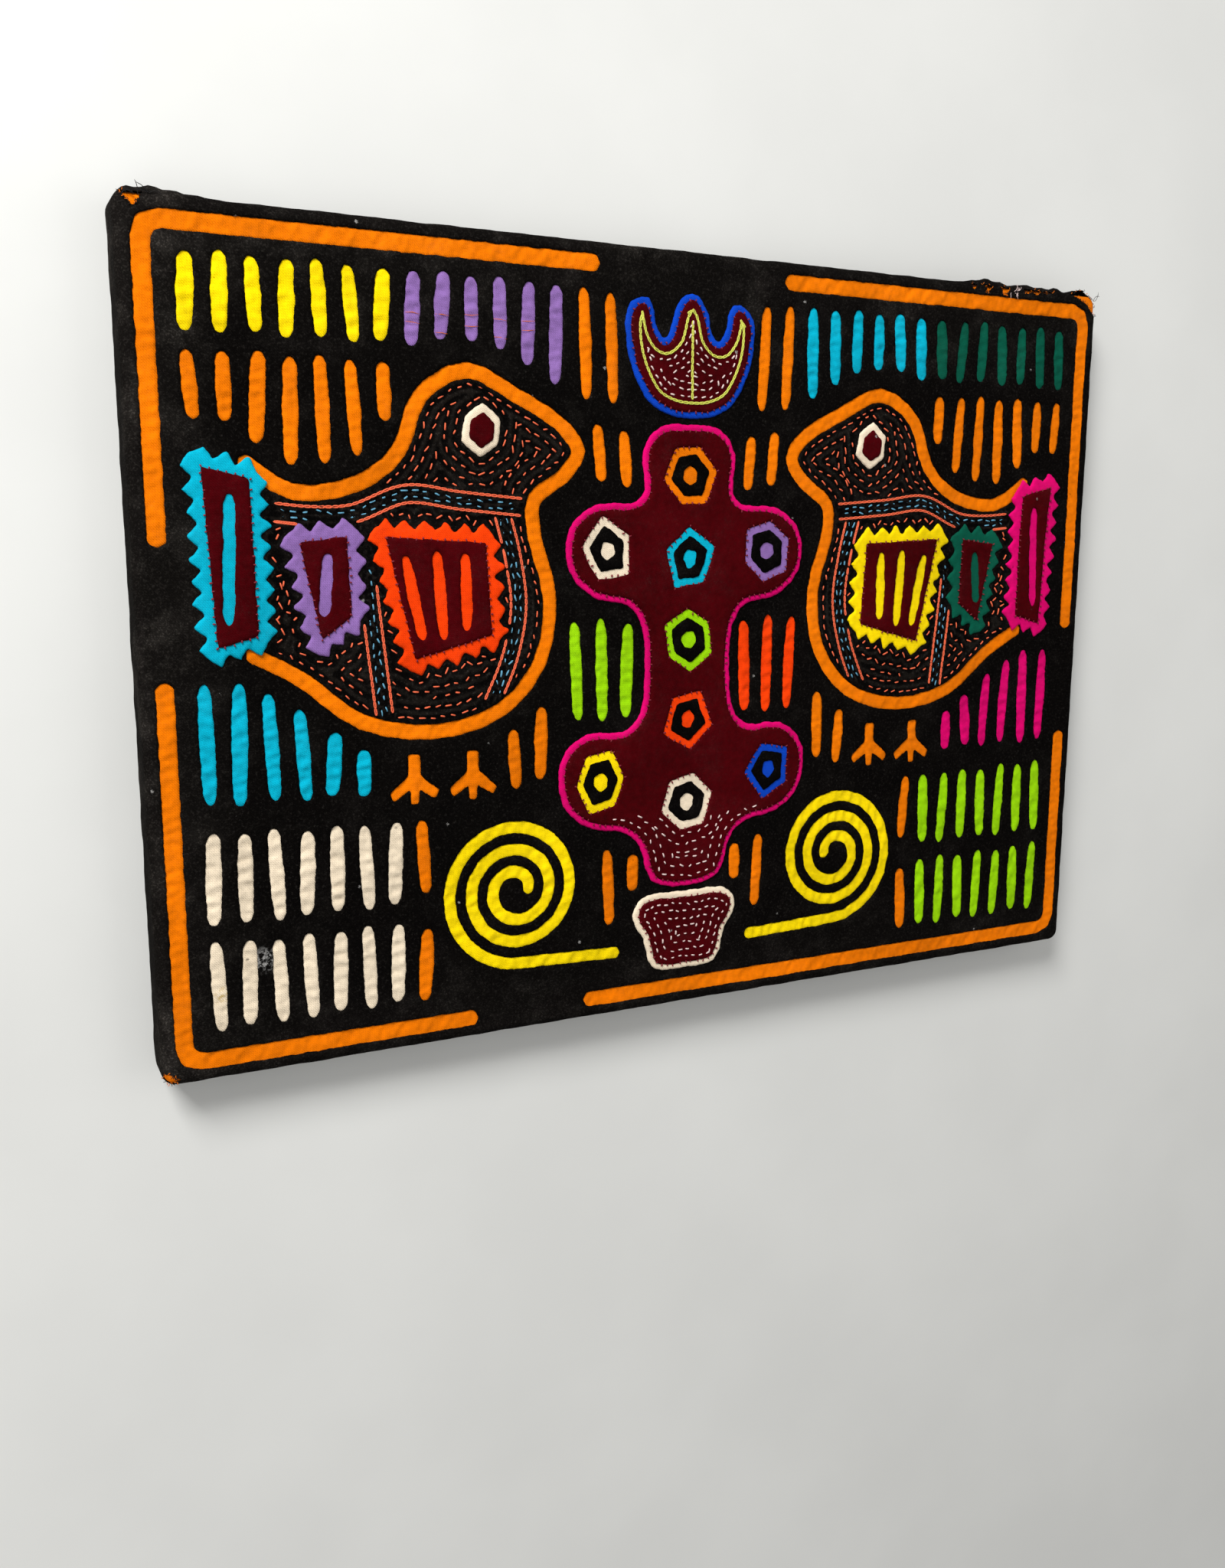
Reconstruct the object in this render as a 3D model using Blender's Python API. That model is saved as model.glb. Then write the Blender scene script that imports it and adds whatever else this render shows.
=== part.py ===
"""Mola panel: cut-through and applied cotton cloth, stretched over a frame of four wooden bars.

The panel lies on its back with its worked face up. X is its width, Y is its height, and Z comes out of
the face. The outlines of the needlework are in millimetres on the face, from the middle of the panel.
"""

from math import cos, hypot, pi, radians, sin

import bpy
from mathutils import Vector
from mathutils.geometry import delaunay_2d_cdt

MM = 0.001

# Driving sizes of the panel, in millimetres.
PANEL_W = 420.0
PANEL_H = 300.0
CORNER_R = 5.0
CLOTH_T = 1.0
GAP = 0.3
BAR_W = 30.0
BAR_T = 14.2
BAR_ROUND = 3.5
BAR_CORNER_CUT = 5.0
BAR_BACK_CUT = 1.5
MITRE_GAP = 0.25
HEM_W = 22.0
FOLD_R = 3.5
HEM_FOLD_R = 1.5
UNDER_FOLD_R = 2.5
UNDER_SKIRT_Z = 3.0
INNER_CORNER_R = 0.6

# Driving sizes of the needlework, in millimetres.
BORDER_LINE = 6.0
BORDER_INSET = 8.0
BIRD_LINE = 5.5
SPIRAL_LINE = 4.6
SPIRAL_PITCH = 8.8
SPIRAL_EYE = 3.0
SPIRAL_TURNS = 3
SPIRAL_STEPS = 22
SLIT_W = 5.4
SLIT_PITCH = 11.0
SLIT_LEAN = 0.9
PATCH_MARGIN = 3.4
RIM = 2.4
TOOTH_BASE = 3.0
TOOTH_DEPTH = 3.8
TOOTH_PITCH = 7.4
RING_R = 12.0
RING_BAND = 3.2
RING_DOT_R = 3.6
RING_TUCK = 1.8
RING_GAP = 0.375
DOT_TURN = 18
EYE_R = 9.0
EYE_BAND = 3.0
EYE_SIDES = 6
EYE_TURN = 25
LINE_TIP = 0.6

# Stack of the layers, from the floor up.
BAR_Z = CLOTH_T + GAP
UNDER_Z = BAR_Z + BAR_T + GAP
PATCH_Z = UNDER_Z + CLOTH_T + GAP
TOP_Z = PATCH_Z + CLOTH_T + GAP
MOTIF_Z = TOP_Z + CLOTH_T + GAP
INLAY_Z = MOTIF_Z + CLOTH_T + GAP

# Colour, roughness of each cloth and of the wood.
MATERIALS = {
    "black": ((0.009, 0.009, 0.009), 0.9),
    "orange": ((0.95, 0.20, 0.006), 0.85),
    "maroon": ((0.085, 0.002, 0.006), 0.85),
    "magenta": ((0.68, 0.002, 0.16), 0.85),
    "red_orange": ((1.0, 0.06, 0.002), 0.85),
    "turquoise": ((0.002, 0.45, 0.63), 0.85),
    "lime": ((0.26, 0.70, 0.01), 0.85),
    "yellow": ((1.0, 0.75, 0.008), 0.85),
    "teal": ((0.005, 0.11, 0.07), 0.85),
    "lilac": ((0.35, 0.20, 0.52), 0.85),
    "cream": ((0.87, 0.75, 0.61), 0.85),
    "blue": ((0.004, 0.07, 0.52), 0.85),
    "wood": ((0.55, 0.36, 0.19), 0.6),
}

# Stations of a cut: share of its half length, share of its half width.
SLIT_STATIONS = ((-1.0, 0.35), (-0.84, 0.84), (0.0, 1.0), (0.84, 0.84), (1.0, 0.35))

# Broken line near the edge, round one corner after another: x and y as shares of its half width and height.
BORDER_RUNS = (
    ((-0.20, 1.0), (-0.97, 1.0), (-0.992, 0.988), (-1.0, 0.957), (-1.0, 0.28)),
    ((-1.0, -0.06), (-1.0, -0.957), (-0.992, -0.988), (-0.97, -1.0), (-0.46, -1.0)),
    ((-0.22, -1.0), (0.97, -1.0), (0.992, -0.988), (1.0, -0.957), (1.0, -0.34)),
    ((1.0, 0.02), (1.0, 0.957), (0.992, 0.988), (0.97, 1.0), (0.22, 1.0)),
)

# Left bird: the line round its body, open under the tail piece. The right bird is its mirror image.
BIRD_BODY = (
    (-173, 67), (-156, 57), (-134, 60), (-118, 72), (-110, 91), (-92, 101), (-73, 93), (-56, 84), (-48, 74),
    (-55, 64), (-66, 56), (-66, 42), (-60, 20), (-64, -4), (-80, -22), (-106, -29), (-134, -24), (-155, -8), (-173, 2),
)
BIRD_LEGS = ((-115, -37), (-92, -37))
LEG_OUTLINE = (
    (-2.3, 0), (-2.3, -8), (-9.6, -14), (-8.0, -17.2), (-1.8, -13), (-1.5, -18.6), (1.5, -18.6), (1.8, -13),
    (8.0, -17.2), (9.6, -14), (2.3, -8), (2.3, 0),
)
BIRD_EYE = (-87, 80)

# Toothed pieces of the left bird: part, left colour, right colour, corners of the maroon face.
TOOTHED_PIECES = (
    ("tail", "turquoise", "magenta", ((-187, 65), (-171, 61), (-170, 8), (-184, 4))),
    ("shoulder", "lilac", "teal", ((-155, 40), (-138, 42), (-137, 14), (-148, 6))),
    ("wing", "red_orange", "yellow", ((-124, 42), (-86, 40), (-84, 6), (-114, -2))),
)

# Cuts in the maroon faces of those pieces: part, x, y, length, lean.
FACE_CUTS = (
    ("tail", -179, 34, 44, 1),
    ("shoulder", -146, 25, 22, 1),
    ("wing", -114, 20, 30, -3),
    ("wing", -104, 21, 32, -1),
    ("wing", -94, 22, 28, 0),
)
FACE_CUT_W = 4.4

# Plant, right half from top to bottom. The left half is its mirror image.
PLANT_HALF = (
    (0, 83), (12, 82), (18.5, 74), (17.5, 60), (24, 53), (40, 52), (50, 44), (50, 30), (40, 21), (26, 18), (18.5, 8),
    (17, -10), (19, -27), (28, -36), (44, -36), (54, -45), (53, -60), (43, -69), (28, -72), (19, -80), (14, -94), (0, -97),
)
FLOWER_HALF = (
    (0, 132), (5, 127), (7.5, 118), (12.5, 114.5), (17, 119), (20, 129), (26, 125), (25, 110), (18, 96), (9, 91), (0, 90),
)
POT_HALF = ((0, -104), (17, -104), (22, -110), (17, -119), (13, -131), (0, -132))

# Five-sided and six-sided spots on the plant: x, y, colour, sides, turn in degrees.
SPOTS = (
    (0, 66, "orange", 6, 8),
    (0, 34, "turquoise", 5, 20),
    (0, 2, "lime", 6, 35),
    (0, -30, "red_orange", 5, -12),
    (0, -64, "cream", 6, 14),
    (-36, 37, "cream", 5, 30),
    (36, 37, "lilac", 6, 22),
    (-39, -53, "yellow", 6, 5),
    (39, -53, "blue", 5, 40),
)

SPIRAL_CENTRE = (-75, -93)
SPIRAL_STALK = (-31, -124)

# Rows of cuts on the left side: block, left colour, right colour, first x, low y, high y of each cut.
CUT_ROWS = (
    ("ground", "cream", "lime", -189, (
        (-93, -60), (-93, -61), (-94, -60), (-93, -62), (-93, -61), (-94, -62), (-93, -62))),
    ("ground", "cream", "lime", -189, (
        (-132, -99), (-131, -100), (-132, -101), (-132, -100), (-131, -101), (-132, -100), (-131, -101))),
    ("flank", "turquoise", "magenta", -189, (
        (-50, -8), (-51, -8), (-50, -12), (-51, -18), (-50, -27), (-51, -34))),
    ("sky", "yellow", "teal", -189, (
        (108, 133), (108, 134), (109, 133), (108, 133), (109, 134), (108, 133), (109, 133))),
    ("crest", "lilac", "turquoise", -112, (
        (108, 133), (111, 134), (111, 133), (109, 134), (104, 133), (98, 133))),
    ("waist", "lime", "red_orange", -49, (
        (-28, 10), (-29, 11), (-28, 9))),
    ("open_back", "orange", "orange", -189, (
        (80, 102), (80, 102), (73, 103), (66, 102), (67, 103), (70, 102), (82, 102))),
    ("open_beak", "orange", "orange", -45, ((93, 133), (92, 132))),
    ("open_bill", "orange", "orange", -39, ((63, 84), (61, 82))),
    ("open_side", "orange", "orange", -112, ((-132, -104),)),
    ("open_knee", "orange", "orange", -112, ((-90, -62),)),
    ("open_breast", "orange", "orange", -75, ((-53, -30), (-50, -22))),
    ("open_stalk", "orange", "orange", -35, ((-112, -81), (-99, -84))),
)


def turned(x, y, angle):
    return x * cos(angle) - y * sin(angle), x * sin(angle) + y * cos(angle)


def mirrored(points):
    """The outline on the other side of the panel, still running the same way round."""
    return [(-x, y) for x, y in reversed(points)]


def whole(half):
    """A full anticlockwise outline from its right half, given from top to bottom."""
    left = [(-x, y) for x, y in half[1:-1]]
    return smooth_loop([*left, *reversed(half)], 3)


def smooth(points, steps):
    """A curve through open points, with so many steps for each span."""
    ends = [points[0], *points, points[-1]]
    curve = [between(ends[i - 1:i + 3], k / steps) for i in range(1, len(ends) - 2) for k in range(steps)]
    return curve + [points[-1]]


def smooth_loop(points, steps):
    """A closed curve through points, with so many steps for each span."""
    ends = [points[-1], *points, points[0], points[1]]
    return [between(ends[i - 1:i + 3], k / steps) for i in range(1, len(ends) - 2) for k in range(steps)]


def between(four, t):
    return tuple(spline(*(point[axis] for point in four), t) for axis in (0, 1))


def spline(a, b, c, d, t):
    return 0.5 * (2 * b + (c - a) * t + (2 * a - 5 * b + 4 * c - d) * t * t + (3 * b - a - 3 * c + d) * t ** 3)


def normals(points, closed):
    """The mitred direction to the right of the run at each point."""
    count = len(points)
    result = []
    for i, (x, y) in enumerate(points):
        before = points[i - 1] if i or closed else points[i]
        after = points[(i + 1) % count] if i + 1 < count or closed else points[i]
        sides = []
        for (ax, ay), (bx, by) in ((before, (x, y)), ((x, y), after)):
            length = hypot(bx - ax, by - ay)
            if length > 1e-9:
                sides.append(((by - ay) / length, (ax - bx) / length))
        nx = sum(side[0] for side in sides) / len(sides)
        ny = sum(side[1] for side in sides) / len(sides)
        square = nx * nx + ny * ny
        result.append((nx / square, ny / square))
    return result


def grown(outline, distance):
    """An anticlockwise outline moved outwards by a distance."""
    return [(x + nx * distance, y + ny * distance) for (x, y), (nx, ny) in zip(outline, normals(outline, True))]


def line_cut(points, width):
    """The outline of a line of even width with blunt, slightly rounded ends."""
    half = width / 2
    tip = half * LINE_TIP
    sides = normals(points, False)
    right = [(x + nx * half, y + ny * half) for (x, y), (nx, ny) in zip(points, sides)]
    left = [(x - nx * half, y - ny * half) for (x, y), (nx, ny) in zip(points, sides)]
    tips = []
    for (ax, ay), (bx, by) in ((points[-2], points[-1]), (points[1], points[0])):
        length = hypot(bx - ax, by - ay)
        tips.append((bx + (bx - ax) / length * tip, by + (by - ay) / length * tip))
    return right + [tips[0]] + left[::-1] + [tips[1]]


def slit(x, low, high, width=SLIT_W, lean=0.0):
    """A long narrow cut with blunt ends."""
    middle, half = (low + high) / 2, (high - low) / 2
    right = [(x + share * width / 2 + lean * along, middle + along * half) for along, share in SLIT_STATIONS]
    left = [(x - share * width / 2 + lean * along, middle + along * half) for along, share in SLIT_STATIONS]
    return right + left[::-1]


def spot(x, y, radius, sides, turn):
    """A hand-cut polygon, a little longer than it is wide."""
    points = []
    for k in range(sides):
        angle = radians(turn) + 2 * pi * k / sides
        reach = radius * (1.0 + 0.08 * sin(2.3 * k + turn))
        points.append((x + 0.94 * reach * cos(angle), y + 1.06 * reach * sin(angle)))
    return points


def toothed(corners):
    """The zigzag outline round a face with these corners, given clockwise."""
    base = grown(corners[::-1], TOOTH_BASE)
    points = []
    for i, (ax, ay) in enumerate(base):
        bx, by = base[(i + 1) % len(base)]
        length = hypot(bx - ax, by - ay)
        count = max(2, round(length / TOOTH_PITCH))
        for k in range(count):
            depth = TOOTH_DEPTH * (1 + 0.1 * sin(4.1 * k + i))
            out_x, out_y = (by - ay) / length * depth, (ax - bx) / length * depth
            start, peak = k / count, (k + 0.5) / count
            points.append((ax + (bx - ax) * start, ay + (by - ay) * start))
            points.append((ax + (bx - ax) * peak + out_x, ay + (by - ay) * peak + out_y))
    return points


def spiral_line():
    """The left spiral from its middle out, then along to the foot of the plant."""
    cx, cy = SPIRAL_CENTRE
    last = SPIRAL_TURNS * SPIRAL_STEPS
    points = []
    for k in range(SPIRAL_STEPS // 4, last + 1):
        angle = -pi / 2 - 2 * pi * (last - k) / SPIRAL_STEPS
        radius = SPIRAL_PITCH * k / SPIRAL_STEPS + SPIRAL_EYE
        points.append((cx + radius * cos(angle), cy + radius * sin(angle)))
    return points + [SPIRAL_STALK]


def border_cuts():
    half_w, half_h = PANEL_W / 2 - BORDER_INSET, PANEL_H / 2 - BORDER_INSET
    return [line_cut([(x * half_w, y * half_h) for x, y in run], BORDER_LINE) for run in BORDER_RUNS]


def row_cuts(block):
    """The cuts of one block on the left side, each leaning a little its own way as hand-made ones do."""
    cuts = []
    for name, _, _, first_x, spans in CUT_ROWS:
        if name == block:
            for k, (low, high) in enumerate(spans):
                sway = sin(2.1 * k + first_x + low)
                cuts.append(slit(first_x + SLIT_PITCH * k, low, high, SLIT_W * (1 + 0.07 * sway), SLIT_LEAN * sway))
    return cuts


def left_cuts():
    """Every cut through the left half of the top cloth, the border aside."""
    cuts = [line_cut(smooth(BIRD_BODY, 3), BIRD_LINE), line_cut(spiral_line(), SPIRAL_LINE)]
    cuts += [[(x + dx, y + dy) for dx, dy in LEG_OUTLINE] for x, y in BIRD_LEGS]
    for block in dict.fromkeys(row[0] for row in CUT_ROWS):
        cuts += row_cuts(block)
    return cuts


def top_cuts():
    left = left_cuts()
    return border_cuts() + left + [mirrored(cut) for cut in left]


def patch_outline(block):
    """The piece of cloth under a block, anticlockwise: it follows the ends of the cuts at a margin."""
    columns = {}
    for name, _, _, first_x, spans in CUT_ROWS:
        if name == block:
            for k, (low, high) in enumerate(spans):
                before = columns.get(first_x + SLIT_PITCH * k, (low, high))
                columns[first_x + SLIT_PITCH * k] = (min(low, before[0]), max(high, before[1]))
    xs = sorted(columns)
    xs_out = [xs[0] - SLIT_W, *xs[1:-1], xs[-1] + SLIT_W]
    low_side = [(x, columns[at][0] - PATCH_MARGIN) for x, at in zip(xs_out, xs)]
    high_side = [(x, columns[at][1] + PATCH_MARGIN) for x, at in zip(xs_out, xs)]
    return low_side + high_side[::-1]


def spiral_patch():
    """The round piece of cloth under a spiral, with a tongue under its stalk."""
    cx, cy = SPIRAL_CENTRE
    reach = SPIRAL_PITCH * SPIRAL_TURNS + SPIRAL_EYE + SPIRAL_LINE / 2 + PATCH_MARGIN
    end_x, end_y = SPIRAL_STALK
    side = SPIRAL_LINE / 2 + PATCH_MARGIN
    points = [(end_x + side, end_y - side), (end_x + side, end_y + side), (cx + reach * 0.86, end_y + side)]
    for k in range(3, 16):
        angle = -pi / 2 + 2 * pi * k / 16
        points.append((cx + reach * cos(angle), cy + reach * sin(angle)))
    return points + [(cx, cy - reach)]


def inside(x, y, outline):
    """Whether a point lies in an outline."""
    result = False
    for i, (ax, ay) in enumerate(outline):
        bx, by = outline[i - 1]
        if (ay > y) != (by > y) and x < (bx - ax) * (y - ay) / (by - ay) + ax:
            result = not result
    return result


def triangles(loops):
    """Triangles between the first loop and the holes after it, as indices into all the loops' points."""
    points, edges, boxes = [], [], []
    for loop in loops:
        start = len(points)
        points += loop
        edges += [(start + k, start + (k + 1) % len(loop)) for k in range(len(loop))]
        boxes.append((min(p[0] for p in loop), max(p[0] for p in loop), min(p[1] for p in loop), max(p[1] for p in loop)))
    result = delaunay_2d_cdt([Vector(p) for p in points], edges, [], 0, 1e-7)
    faces = []
    for face in result[2]:
        a, b, c = (result[3][k][0] for k in face)
        x = (points[a][0] + points[b][0] + points[c][0]) / 3
        y = (points[a][1] + points[b][1] + points[c][1]) / 3
        found = [
            x0 < x < x1 and y0 < y < y1 and inside(x, y, loop)
            for loop, (x0, x1, y0, y1) in zip(loops, boxes)
        ]
        if found[0] and not any(found[1:]):
            faces.append((a, b, c))
    return faces


def finish(name, vertices, faces, colour):
    """A named object from points in millimetres, with its material."""
    mesh = bpy.data.meshes.new(name)
    mesh.from_pydata([(x * MM, y * MM, z * MM) for x, y, z in vertices], [], faces)
    mesh.materials.append(material(colour))
    thing = bpy.data.objects.new(name, mesh)
    bpy.context.collection.objects.link(thing)
    return thing


def material(colour):
    if colour in bpy.data.materials:
        return bpy.data.materials[colour]
    made = bpy.data.materials.new(colour)
    made.use_nodes = True
    shader = made.node_tree.nodes["Principled BSDF"]
    rgb, roughness = MATERIALS[colour]
    shader.inputs["Base Color"].default_value = (*rgb, 1.0)
    shader.inputs["Roughness"].default_value = roughness
    shader.inputs["Metallic"].default_value = 0.0
    return made


def add_walls(faces, start, count, rise):
    """Walls down a hole whose upper points begin at start and whose lower points are rise further on."""
    for k in range(count):
        a, b = start + k, start + (k + 1) % count
        faces.append((a, a + rise, b + rise, b))


def flat_cloth(name, colour, z, outline, holes=()):
    """A flat cut piece of cloth, with its cuts right through it."""
    loops = [outline, *holes]
    flat = [point for loop in loops for point in loop]
    count = len(flat)
    vertices = [(x, y, z + CLOTH_T) for x, y in flat] + [(x, y, z) for x, y in flat]
    caps = triangles(loops)
    faces = caps + [(c + count, b + count, a + count) for a, b, c in caps]
    start = 0
    for loop in loops:
        add_walls(faces, start, len(loop), count)
        start += len(loop)
    return finish(name, vertices, outward(vertices, faces), colour)


def outward(vertices, faces):
    """The faces, with each wall turned to agree with the caps that it meets."""
    directed = set()
    walls = []
    for face in faces:
        if len(face) == 3:
            directed.update(zip(face, face[1:] + face[:1]))
        else:
            walls.append(face)
    turned_walls = [face[::-1] if (face[3], face[0]) in directed else face for face in walls]
    return [face for face in faces if len(face) == 3] + turned_walls


def fold(inset, z, radius, first, last, steps=3):
    """Points of a rounded fold: how far in from the panel's side, and the height."""
    angles = [radians(first + (last - first) * k / steps) for k in range(steps + 1)]
    return [(inset - radius * cos(a), z + radius * sin(a)) for a in angles]


def frame_ring(inset):
    """The panel's outline at some distance in from its side, anticlockwise, with rounded corners."""
    radius = max(CORNER_R - inset, INNER_CORNER_R)
    half_w, half_h = PANEL_W / 2 - inset - radius, PANEL_H / 2 - inset - radius
    points = []
    for corner, (sx, sy) in enumerate(((1, -1), (1, 1), (-1, 1), (-1, -1))):
        for k in range(4):
            angle = (corner - 1) * pi / 2 + k * pi / 6
            points.append((sx * half_w + radius * cos(angle), sy * half_h + radius * sin(angle)))
    return points


def wrapped_cloth(name, colour, profile, cuts):
    """Cloth over the face and folded round the sides: the profile runs outside from the face, then back inside."""
    rings = [[(x, y, z) for x, y in frame_ring(inset)] for inset, z in profile]
    size = len(rings[0])
    vertices = [point for ring in rings for point in ring]
    faces = []
    for r in range(len(rings) - 1):
        for k in range(size):
            a, b = r * size + k, r * size + (k + 1) % size
            faces.append((a, a + size, b + size, b))
    last = (len(rings) - 1) * size
    flat = [point for cut in cuts for point in cut]
    start = len(vertices)
    vertices += [(x, y, profile[0][1]) for x, y in flat] + [(x, y, profile[-1][1]) for x, y in flat]
    for ring, shift, up in ((0, 0, True), (last, len(flat), False)):
        outline = [vertices[ring + k][:2] for k in range(size)]
        index = [ring + k for k in range(size)] + [start + shift + k for k in range(len(flat))]
        for a, b, c in triangles([outline, *cuts]):
            faces.append((index[a], index[b], index[c]) if up else (index[c], index[b], index[a]))
    for cut in cuts:
        add_walls(faces, start, len(cut), len(flat))
        start += len(cut)
    return finish(name, vertices, outward(vertices, faces), colour)


def build_top_cloth():
    """The black cloth: cut-through face, sides, and a hem folded over the back of the frame."""
    top = TOP_Z + CLOTH_T
    profile = fold(FOLD_R, top - FOLD_R, FOLD_R, 90, 0)
    profile += fold(HEM_FOLD_R, HEM_FOLD_R, HEM_FOLD_R, 0, -90)
    profile += [(HEM_W, 0.0), (HEM_W, CLOTH_T)]
    profile += fold(HEM_FOLD_R, HEM_FOLD_R, HEM_FOLD_R - CLOTH_T, -90, 0)
    profile += fold(FOLD_R, top - FOLD_R, FOLD_R - CLOTH_T, 0, 90)
    return wrapped_cloth("top_cloth", "black", profile, top_cuts())


def build_under_cloth():
    """The orange cloth that shows in the cuts: whole face, and sides that end inside the black ones."""
    outer = CLOTH_T + GAP
    centre, z = outer + UNDER_FOLD_R, UNDER_Z + CLOTH_T - UNDER_FOLD_R
    profile = fold(centre, z, UNDER_FOLD_R, 90, 0)
    profile += [(outer, UNDER_SKIRT_Z), (outer + CLOTH_T, UNDER_SKIRT_Z)]
    profile += fold(centre, z, UNDER_FOLD_R - CLOTH_T, 0, 90)
    return wrapped_cloth("under_cloth", "orange", profile, [])


def build_bars():
    """Four mitred bars, with their outer edges rounded over for the cloth."""
    side = 2 * (CLOTH_T + GAP)
    half_w, half_h = PANEL_W / 2 - side, PANEL_H / 2 - side
    for name, long, short, turn in (
        ("frame_bar_bottom", half_w, half_h, 0),
        ("frame_bar_right", half_h, half_w, 1),
        ("frame_bar_top", half_w, half_h, 2),
        ("frame_bar_left", half_h, half_w, 3),
    ):
        end, cut = long - MITRE_GAP, BAR_CORNER_CUT
        plan = ((-end + cut, 0), (end - cut, 0), (end - cut / 2, cut / 2), (end - BAR_W, BAR_W))
        plan += ((-end + BAR_W, BAR_W), (-end + cut / 2, cut / 2))
        bar(name, [(x, y - short) for x, y in plan], turn)


def bar(name, plan, quarter_turns):
    """One bar from its plan: its outer edge is cut off at a slope front and back."""
    outer_y = plan[0][1]
    rows = []
    for z, inset in ((0, BAR_BACK_CUT), (BAR_BACK_CUT, 0), (BAR_T - BAR_ROUND, 0), (BAR_T, BAR_ROUND)):
        rows.append([(x, max(y, outer_y + inset), BAR_Z + z) for x, y in plan])
    count = len(plan)
    vertices = [point for row in rows for point in row]
    for ring in (0, len(rows) - 1):
        trim_ends(vertices, ring * count, rows[ring])
    faces = [tuple(range(count))[::-1], tuple((len(rows) - 1) * count + k for k in range(count))]
    for r in range(len(rows) - 1):
        for k in range(count):
            a, b = r * count + k, r * count + (k + 1) % count
            faces.append((a, b, b + count, a + count))
    angle = quarter_turns * pi / 2
    placed = [(*turned(x, y, angle), z) for x, y, z in vertices]
    return finish(name, placed, faces, "wood")


def trim_ends(vertices, start, row):
    """Keeps the mitred ends of a sloped edge on the mitre's own line."""
    for k in (2, 5):
        x, y, z = row[k]
        inner_x, inner_y, _ = row[3] if k == 2 else row[4]
        side = 1 if k == 2 else -1
        vertices[start + k] = (inner_x + side * (inner_y - y), y, z)


def build_patches():
    """Coloured cloth laid between the two big cloths, one piece under each block of cuts and each spiral."""
    for block, left_colour, right_colour in dict.fromkeys(row[:3] for row in CUT_ROWS):
        if not block.startswith("open"):
            outline = patch_outline(block)
            flat_cloth(f"patch_{block}_left", left_colour, PATCH_Z, outline)
            flat_cloth(f"patch_{block}_right", right_colour, PATCH_Z, mirrored(outline))
    outline = spiral_patch()
    flat_cloth("patch_spiral_left", "yellow", PATCH_Z, outline)
    flat_cloth("patch_spiral_right", "yellow", PATCH_Z, mirrored(outline))


def build_toothed_pieces():
    """The birds' tails, shoulders and wings: a zigzag piece with a maroon face that is cut through to it."""
    for part, left_colour, right_colour, corners in TOOTHED_PIECES:
        teeth, face = toothed(corners), list(corners[::-1])
        cuts = [
            slit(x, y - length / 2, y + length / 2, FACE_CUT_W, lean)
            for name, x, y, length, lean in FACE_CUTS if name == part
        ]
        flat_cloth(f"{part}_teeth_left", left_colour, MOTIF_Z, teeth)
        flat_cloth(f"{part}_face_left", "maroon", INLAY_Z, face, cuts)
        flat_cloth(f"{part}_teeth_right", right_colour, MOTIF_Z, mirrored(teeth))
        flat_cloth(f"{part}_face_right", "maroon", INLAY_Z, mirrored(face), [mirrored(cut) for cut in cuts])


def build_eyes():
    x, y = BIRD_EYE
    for side, at in (("left", x), ("right", -x)):
        flat_cloth(f"eye_rim_{side}", "cream", MOTIF_Z, spot(at, y, EYE_R, EYE_SIDES, EYE_TURN))
        flat_cloth(f"eye_face_{side}", "maroon", INLAY_Z, spot(at, y, EYE_R - EYE_BAND, EYE_SIDES, EYE_TURN))


def build_plant():
    """The maroon plant on its magenta rim, with its coloured spots, flower and pot."""
    plant = whole(PLANT_HALF)
    wells = [spot(x, y, RING_R + RING_TUCK, sides, turn) for x, y, _, sides, turn in SPOTS]
    windows = [spot(x, y, RING_R, sides, turn) for x, y, _, sides, turn in SPOTS]
    flat_cloth("plant_rim", "magenta", MOTIF_Z, grown(plant, RIM), wells)
    flat_cloth("plant_face", "maroon", INLAY_Z, plant, windows)
    for number, (x, y, colour, sides, turn) in enumerate(SPOTS, 1):
        flat_cloth(f"spot_ring_{number}", colour, MOTIF_Z, spot(x, y, RING_R + RING_TUCK - RING_GAP, sides, turn))
        dot = spot(x, y, RING_DOT_R, sides, turn + DOT_TURN)
        flat_cloth(f"spot_face_{number}", "black", INLAY_Z, spot(x, y, RING_R - RING_BAND, sides, turn), [dot])
    for name, half, colour in (("flower", FLOWER_HALF, "blue"), ("pot", POT_HALF, "cream")):
        outline = whole(half)
        flat_cloth(f"{name}_rim", colour, MOTIF_Z, grown(outline, RIM))
        flat_cloth(f"{name}_face", "maroon", INLAY_Z, outline)


def main():
    for old in list(bpy.data.objects):
        bpy.data.objects.remove(old)
    build_bars()
    build_under_cloth()
    build_patches()
    build_top_cloth()
    build_toothed_pieces()
    build_eyes()
    build_plant()


main()
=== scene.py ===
"""The look of a mola panel: cut-through and applied cotton, hand sewn and stretched over a wooden frame.

Laid out as a Blender add-on. Lengths in the tables are millimetres on the face, from the panel's middle;
heights are millimetres above the surface that the panel lies on. The panel lies on its back, and its
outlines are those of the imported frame.
"""

from functools import lru_cache
from math import cos, hypot, pi, radians, sin

import bmesh
import bpy
import numpy as np
from mathutils import Matrix, Vector, kdtree
from mathutils.geometry import delaunay_2d_cdt


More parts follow.
